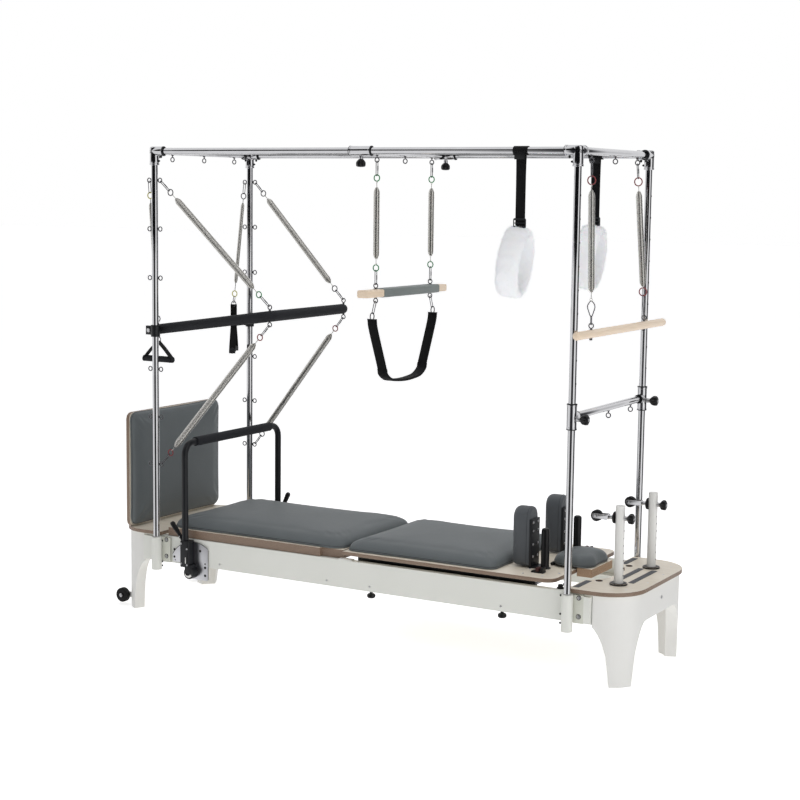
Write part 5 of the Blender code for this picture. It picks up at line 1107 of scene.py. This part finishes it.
def carriage():
    """Deck, pad, shoulder rests, head rest, pegs, cleats, beams, springs and wheels."""
    body = "carriage"
    outline = np.concatenate([[(-0.045, HALF_WIDTH), (-0.045, -HALF_WIDTH)],
                              arc((0.880, -HALF_WIDTH + 0.050), 0.050, -90, 0, 12),
                              arc((0.880, HALF_WIDTH - 0.050), 0.050, 0, 90, 12)])
    piece("deck_board", slab(outline, "XY", DECK_BASE, DECK_TOP, 0.0012), PLY_FLAT, body, "carriage_deck")
    pegs, jaws, screws = [], [], []
    peg, step = mm(0, 24, 4, 24, 6, 16.8, 156, 16.8, 163, 14.3, 166, 8.4), DECK_TOP + 0.006
    for side in SIDES.values():
        pegs.append(turned((0.816, side * 0.160, DECK_TOP), Z, peg, 32, 0.0015))
        y = side * 0.240
        jaws.append(block((0.798, y - 0.017, DECK_TOP), (0.852, y + 0.017, step), 0.001, 0.004))
        for way in (-1, 1):
            jaws.append(turned((0.824, y + way * 0.0095, step), Z, mm(0, 7.5, 2, 8, 12, 8, 15, 6), 14, mat=1))
        jaws.append(block((0.840, y - 0.016, step), (0.850, y + 0.016, DECK_TOP + 0.022), 0.0015, 0.003))
        for x, out in mm(770, 204, 831, 143, 866, 291, 780, 291, 905, 215):
            screws.append(screw_head((x, side * out, DECK_TOP), Z, 0.0055, 0.0022))
    piece("rope_pegs", pegs, NYLON, body)
    piece("rope_cleats", jaws, [NYLON, CLEAT], body)
    piece("deck_screws", screws, ZINC, body)
    pad_start, pad_end = -0.049, 0.670
    length = pad_end - pad_start
    origin = (pad_start + length / 2, 0, DECK_TOP + GAP)
    upholstered("carriage_cushion", "carriage_pad", length, PAD_WIDTH, PAD_THICK, 0.008, 0.045, 0.004, (X, Y, Z),
                origin, body, 0.042)
    for name, side in SIDES.items():
        eased_copy(f"skirt_beam_{name}", f"carriage_beam_{name}", BLACK, body, 0.0012)
        shoulder_rest(name, side)
    low = AXLE_Z + 0.006 + 0.004
    bars = [block((x - 0.010, -0.246, low), (x + 0.010, 0.246, DECK_BASE - GAP), 0.001) for x in (0.060, 0.792)]
    piece("under_deck_bars", bars, STEEL, body)
    wound = [coil((0.066, y, low + 0.014), (0.786, y, low + 0.014), 0.012, 0.0016, 0.0042, 0.02, 0.004)
             for y in (-0.16, -0.06, 0.06, 0.16)]
    piece("under_deck_coils", wound, SPRING_WIRE, body, "carriage_spring_pack", sharp=80)
    for name, x in (("foot", 0.120), ("head", 0.700)):
        parts = [bar((x, -0.3055, AXLE_Z), (x, 0.3055, AXLE_Z), 0.006, 20, mat=1)]
        for side in SIDES.values():
            parts.append(turned((x, side * 0.2805, AXLE_Z), (0, side, 0),
                                mm(0, 12, 1, 26, 3, 28, 15, 28, 17, 26, 18, 12), 40, 0.0008))
        piece(f"wheelset_{name}_wheels", parts, [NYLON, ZINC], f"wheelset_{name}", f"carriage_wheelset_{name}")
    headrest()


def shoulder_rest(name, side):
    """A lift-out shoulder rest: a padded block with upright sides and a fully rounded top, a seam round its back,
    on a black plate with screws. Its outline is straight up to the start of a half ellipse."""
    body, y = f"shoulder_rest_{name}", side * 0.155
    low, face, half, rise = DECK_TOP + 0.008, 0.760, 0.042, 0.245
    shrink = 0.004
    turn = np.radians(np.linspace(0, 180, 33))
    top = np.c_[half * np.cos(turn), rise - 0.056 + (0.056 - shrink) * np.sin(turn)]
    sides = np.linspace(0.010, rise - 0.060, 12)
    foot = softened([(-half, 0.016), (-half, 0.0), (half, 0.0), (half, 0.016)], 0.008, 5, closed=False)
    outline = np.concatenate([raised(sides[:, None], 0, half), top, raised(sides[::-1, None], 0, -half), foot[1:-1]])
    middle = np.array((0.0, 0.105))
    depth, round_over = 0.087 - shrink, 0.030
    rows = [(0.0, 0.80, 0.0), (0.003, 1.0, 0.0), (0.0, 1.0, 0.004), (0.0, 1.0, depth * 0.3)]
    for a in np.radians(np.linspace(0, 90, 9)):
        rows.append((round_over * (1 - math.cos(a)), 1.0, depth - round_over * (1 - math.sin(a))))
    for share in (0.92, 0.8, 0.62, 0.42, 0.2, 0.04):
        rows.append((round_over, share, depth + 0.004 * math.cos(share * math.pi / 2)))
    rings = []
    for draw, share, out in rows:
        flat = middle + (inset(outline, draw) - middle) * share
        rings.append(raised(flat + (y, low), 0, face - out))
    # The shoulder cushion takes the darker leather copy: painted shade.
    pad = piece(f"shoulder_cushion_{name}", patch(np.array(rings)), LEATHER_SHADED, None, f"shoulder_rest_{name}",
                sharp=180)
    swelled(pad, 0.0045, (-1.0, 0, 0), -(face + MIDDLE[0]) + 0.004)
    outer, inner = (raised(middle + (y, low) + (outline - middle) * share, 0, face - 0.012) for share in (1.3, 0.6))
    seam_line(f"shoulder_seam_{name}", pad, outer, inner, (-1, 0, 0), body)
    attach(pad, body)
    plate = [block((0.759, y - 0.040, DECK_TOP + GAP), (0.769, y + 0.040, DECK_TOP + 0.200), 0.0015, 0.003),
             block((0.7592, y - 0.030, DECK_BASE - 0.012), (0.7688, y + 0.030, DECK_TOP + 0.002), 0.001),
             block((0.7692, y - 0.036, DECK_TOP + 0.001), (0.800, y + 0.036, DECK_TOP + 0.007), 0.001, 0.004)]
    piece(f"shoulder_plate_{name}", plate, BLACK, body)
    screws = [screw_head((0.769, y + dy, z), X, 0.0055, 0.0025) for dy in (-0.022, 0.022)
              for z in (0.450, 0.500, 0.555, 0.590)]
    piece(f"shoulder_screws_{name}", screws, ZINC, body)


def headrest():
    """The tilting head rest, its hinge and the wooden prop."""
    length = 0.189
    origin = (0.811 + length / 2, 0, DECK_TOP + 0.008)
    upholstered("head_cushion", "headrest_pad", length, 0.240, PAD_THICK, 0.010, 0.060, 0.006, (X, Y, Z), origin,
                "headrest", 0.040, 1.0, 0.005)
    hinge = [bar((0.8175, y - 0.022, 0.411), (0.8175, y + 0.022, 0.411), 0.0065, 20) for y in (-0.075, 0.0, 0.075)]
    hinge += [turned((0.895, y, DECK_TOP + GAP), Z, mm(0, 8, 10, 8), 20, 0.001) for y in (-0.085, 0.085)]
    piece("head_hinge", hinge, BLACK, "headrest")
    eased_copy("head_prop", "headrest_prop", PLY_PROP, "headrest_prop", 0.002)


def mat_and_boards():
    """The infill mat, the jump board and their pads."""
    eased_copy("mat_base", "infill_base", PLY_FLAT, "mat", 0.0012)
    length = 0.923
    upholstered("mat_cushion", "infill_pad", length, PAD_WIDTH, PAD_THICK, 0.008, 0.070, 0.004, (X, Y, Z),
                (-0.975 + length / 2, 0, DECK_TOP + GAP), "mat", 0.042)
    plates = [block((-0.066, side * 0.3025, RAIL_TOP), (-0.001, side * 0.3315, RAIL_TOP + 0.004), 0.001, 0.003)
              for side in SIDES.values()]
    piece("rail_brackets", plates, WHITE, "base_frame")
    eased_copy("jump_board_ply", "jump_board_back", PLY_UP, "jump_board", 0.0015)
    low = BOARD_TOP + GAP
    columns, origin = (Y, Z, X), (-1.183 + GAP, 0, low + 0.2665)
    upholstered("jump_board_cushion", "jump_board_pad", 0.678, 0.533, 0.031, 0.007, 0.040, 0.003, columns, origin,
                "jump_board", 0.018, 1.2)


def foot_bar():
    """The foot bar: a bent black tube with a foam grip, clamp blocks, pivot hubs and release levers."""
    y, z_foot = 0.367, 0.262
    corners = [(FOOT_BAR_X, -y, z_foot), (FOOT_BAR_X, -y, FOOT_BAR_TOP), (FOOT_BAR_X, y, FOOT_BAR_TOP),
               (FOOT_BAR_X, y, z_foot)]
    parts = [tube(bent_u(corners, 0.055, 14), X, TUBE_R, 32)]
    hubs, levers, bolts, dark = [], [], [], []
    for side in SIDES.values():
        inner, outer, face, out = side * 0.3390, side * (y + 0.018), side * (y + 0.0115), (0, side, 0)
        parts += [block((-0.862, inner, 0.246), (-0.815, outer, 0.364), 0.003, 0.006),
                  block((-0.840, inner, 0.222), (-0.806, outer - side * 0.004, 0.258), 0.002, 0.004),
                  turned((PIVOT[0], inner, PIVOT[1]), out, mm(0, 27, 37, 27, 40, 24), 40, 0.0015)]
        moon = np.concatenate([arc(PIVOT, 0.0200, 150, 330, 24), arc((-0.8235, 0.2255), 0.0170, 325, 155, 20)])
        hubs += [slab(moon, "XZ", *sorted((face, face + side * 0.0012)), 0.0003),
                 block((-0.833, outer, 0.264), (-0.829, outer + side * 0.0008, 0.292), 0.0003, 0.0015)]
        # A black disc: painted shade in the hub's hole.
        dark.append(turned((-0.829, face + side * 0.0010, 0.213), out, mm(0, 4, 0.6, 4, 0.7, 3.4), 20))
        bolts += [screw_head((x, outer, z), out, 0.0045, 0.0022)
                  for x, z in mm(-855, 352, -823, 330, -855, 262, -823, 258)]
        tip_x, tip_z = (-0.918, 0.440) if side < 0 else (-0.784, 0.474)
        foot, tip = np.array([(FOOT_BAR_X + side * 0.008, side * (y + 0.002), 0.362),
                              (tip_x, side * (y + 0.002), tip_z)])
        reach = np.linalg.norm(tip - foot)
        shape = ((0, 0.0085), (reach * 0.45, 0.0085), (reach * 0.55, 0.0100), (reach - 0.008, 0.0118),
                 (reach, 0.0080))
        levers.append(turned(foot, tip - foot, shape, 24, 0.0015))
        bolts += [screw_head(foot + (tip - foot) * share + (0, side * 0.0090, 0), out, 0.0032, 0.0018)
                  for share in (0.25, 0.88)]
    piece("foot_bar_tube", parts, BLACK, "footbar", "footbar")
    grip = bar((FOOT_BAR_X, -0.292, FOOT_BAR_TOP), (FOOT_BAR_X, 0.292, FOOT_BAR_TOP), 0.0205, 36, 0.003)
    piece("foot_bar_grip", grip, FOAM, "footbar")
    for kind, shapes, coat in (("hubs", hubs, WHITE), ("hub_holes", dark, PAINTED_SHADE), ("levers", levers, NYLON),
                               ("bolts", bolts, ZINC)):
        piece("foot_bar_" + kind, shapes, coat, "footbar")


def risers():
    """The rope risers with pulleys, clamp knobs and pin holes."""
    back, z = (-1, 0, 0), 0.650
    face = RISER_X - 0.019 - GAP
    wheel_x = face - 0.080
    for name, side in SIDES.items():
        y, body = side * RISER_Y, f"riser_pulley_{name}"
        post = turned((RISER_X, y, 0.290), Z, mm(0, 18.6, 408.5, 18.6, 410, 17, 410.2, 15), 40)
        piece(f"riser_post_{name}", post, WHITE, f"riser_{name}", f"riser_{name}")
        # Black discs at the riser's open top and its pin holes: painted shade.
        holes = [turned((RISER_X, y, 0.6995), Z, mm(0, 15, 0.3, 15, 0.4, 14), 32)]
        holes += [turned((RISER_X + 0.0176, y, height), X, mm(0, 3.2, 1, 3.2, 1.1, 2.8), 12)
                  for height in np.arange(0.42, 0.62, 0.030)]
        piece(f"riser_pins_{name}", holes, PAINTED_SHADE, f"riser_{name}")
        groove = mm(0, 18.5, 1, 22.5, 4, 22.5, 8, 16.5, 14, 16.5, 18, 22.5, 21, 22.5, 22, 18.5)
        wheel = [turned((face, y, z), back, mm(0, 24, 6, 24, 8, 20), 36, 0.001),
                 turned((wheel_x, y - 0.011, z), Y, groove, 40, 0.0005)]
        piece(f"pulley_wheel_{name}", wheel, NYLON, body, body)
        fork = [turned((face - 0.006, y, z), back, mm(0, 8.5, 18, 8.5, 22, 11, 26, 11), 28, 0.0008)]
        cheek = softened(mm(-28, -11, -28, 11, -94, 9, -94, -9) + (face, z), 0.008, 8)
        fork += [slab(cheek, "XZ", y + way * 0.0118, y + way * 0.0136, 0.0006) for way in (-1, 1)]
        fork.append(bar((wheel_x, y - 0.016, z), (wheel_x, y + 0.016, z), 0.0045, 20))
        piece(f"pulley_fork_{name}", fork, STEEL, body)
        star_knob(f"riser_knob_head_{name}", f"riser_knob_{name}", (RISER_X + 0.0193, y, z), X, f"riser_knob_{name}",
                  0.021, 0.038, 0.012)


def transport():
    """The two rubber wheels on short stub axles, with hubs."""
    x, z, parts = -1.272, 0.044, []
    tyre = mm(0, 17, 0, 28, 3, 33, 12, 33, 12.5, 32.2, 13.5, 32.2, 14, 33, 23, 33, 26, 28, 26, 17)
    for side in SIDES.values():
        y = side * 0.278 - 0.013
        parts += [bar((x, side * 0.240, z), (x, side * 0.295, z), 0.006, 20, mat=1),
                  turned((x, y, z), Y, tyre, 48, 0.0006),
                  turned((x, y + 0.003, z), Y, mm(0, 10, 0, 17.2, 20, 17.2, 20, 10), 32, 0.0006, mat=2),
                  screw_head((x, side * 0.294, z), (0, side, 0), 0.009, 0.003, mat=1)]
    piece("transport_tyres", parts, [RUBBER, ZINC, WHITE], "transport_wheels", "transport_wheels")


def area_light(name, place, aim, size, power):
    """A soft rectangular light turned to a point."""
    data = bpy.data.lights.new(name, "AREA")
    data.shape, data.size, data.size_y, data.energy = "RECTANGLE", size[0], size[1], power
    lamp = placed(name, data)
    lamp.location = place
    lamp.rotation_mode = "QUATERNION"
    lamp.rotation_quaternion = (Vector(aim) - Vector(place)).to_track_quat("-Z", "Y")
    lamp.visible_glossy = False


def studio():
    """Pale floor, white surroundings, soft lights and the camera. The surroundings that polished tubes mirror are
    upright bands of light and dark by azimuth, with a dark patch above the horizon behind the camera; the rest is
    lit by a sky that grows brighter from the horizon up."""
    bpy.context.scene.view_settings.view_transform = "Standard"
    floor_finish, tree, coords = finish("pale_floor", Roughness=0.75, Emission_Color=linear("#ffffff"),
                                        Emission_Strength=0.60)
    cloud = node(tree, "TexNoise", {"Vector": coords["Object"], "Scale": 0.6, "Detail": 2.0})
    dress(tree, blend_colours(tree, cloud, "#fafafa", "#fcfcfc"))
    mesh = bpy.data.meshes.new("studio_floor")
    corners = [(x * 60, y * 60, -GAP) for x, y in ((-1, -1), (1, -1), (1, 1), (-1, 1))]
    mesh.from_pydata(corners, [], [(0, 1, 2, 3)])
    mesh.materials.append(floor_finish)
    floor = placed("studio_floor", mesh)
    floor.visible_glossy = False
    world = bpy.data.worlds.new("studio")
    bpy.context.scene.world = world
    world.use_nodes = True
    tree = world.node_tree
    tree.nodes.clear()
    ray = node(tree, "TexCoord").outputs["Generated"]
    split = node(tree, "SeparateXYZ", {"Vector": ray})
    turn = node(tree, "Math", {0: split.outputs[1], 1: split}, operation="ARCTAN2")
    share = node(tree, "MapRange", {"Value": turn, "From Min": -math.pi, "From Max": math.pi})
    bands = node(tree, "ValToRGB", {"Fac": share})
    stops = ((0.172, "#e9e9ea"), (0.222, "#2e2e31"), (0.352, "#2e2e31"), (0.400, "#ffffff"), (0.494, "#ffffff"),
             (0.533, "#3c3c3f"), (0.661, "#3c3c3f"), (0.694, "#e9e9ea"))
    while len(bands.color_ramp.elements) < len(stops):
        bands.color_ramp.elements.new(0.5)
    for stop, (at, colour) in zip(bands.color_ramp.elements, stops):
        stop.position, stop.color = at, linear(colour)
    rise = node(tree, "MapRange", {"Value": split.outputs[2], "From Min": 0.03, "From Max": 0.07})
    fall = node(tree, "MapRange", {"Value": split.outputs[2], "From Min": 0.62, "From Max": 0.52})
    ahead = node(tree, "MapRange", {"Value": split.outputs[1], "From Min": -0.40, "From Max": -0.55})
    band = node(tree, "Math", {0: rise, 1: fall}, operation="MULTIPLY")
    cap = node(tree, "Math", {0: band, 1: ahead}, operation="MULTIPLY")
    around = node(tree, "Mix", {0: cap, "A": bands, "B": linear("#101012")}, data_type="RGBA")
    height = node(tree, "MapRange", {"Value": split.outputs[2], "To Min": SKY_LOW, "To Max": SKY_HIGH})
    seen = node(tree, "LightPath")
    mirrored = node(tree, "Background", {"Color": around.outputs[2], "Strength": 1.0})
    sky = node(tree, "Background", {"Color": linear("#fdfdff"), "Strength": height})
    white = node(tree, "Background", {"Color": linear("#ffffff"), "Strength": 1.0})
    lit = node(tree, "MixShader", {0: seen.outputs["Is Glossy Ray"], 1: sky, 2: mirrored})
    mix = node(tree, "MixShader", {0: seen.outputs["Is Camera Ray"], 1: lit, 2: white})
    node(tree, "OutputWorld", {"Surface": mix})
    area_light("key_softbox", (-2.6, -4.6, 4.4), (0, 0, 0.8), (3.0, 2.4), 14)
    area_light("fill_softbox", (4.6, -2.4, 2.8), (0.2, 0, 0.8), (2.6, 2.6), 55)
    area_light("top_softbox", (0.2, 0.6, 5.2), (0, 0, 0), (4.0, 3.0), 88)
    camera = bpy.data.cameras.new("view")
    camera.sensor_width, camera.lens = 36.0, 75.145
    camera.clip_start, camera.clip_end = 0.1, 300
    eye_point = placed("view", camera)
    right, up, back = (0.8672, 0.4977, 0.0123), (-0.0718, 0.1006, 0.9923), (0.4927, -0.8615, 0.1230)
    place = (3.6195, -6.2596, 1.9099)
    eye_point.matrix_world = Matrix([*zip(right, up, back, place), (0, 0, 0, 1)])
    bpy.context.scene.camera = eye_point


base_frame()
tower()
attachments()
carriage()
mat_and_boards()
foot_bar()
risers()
transport()
studio()
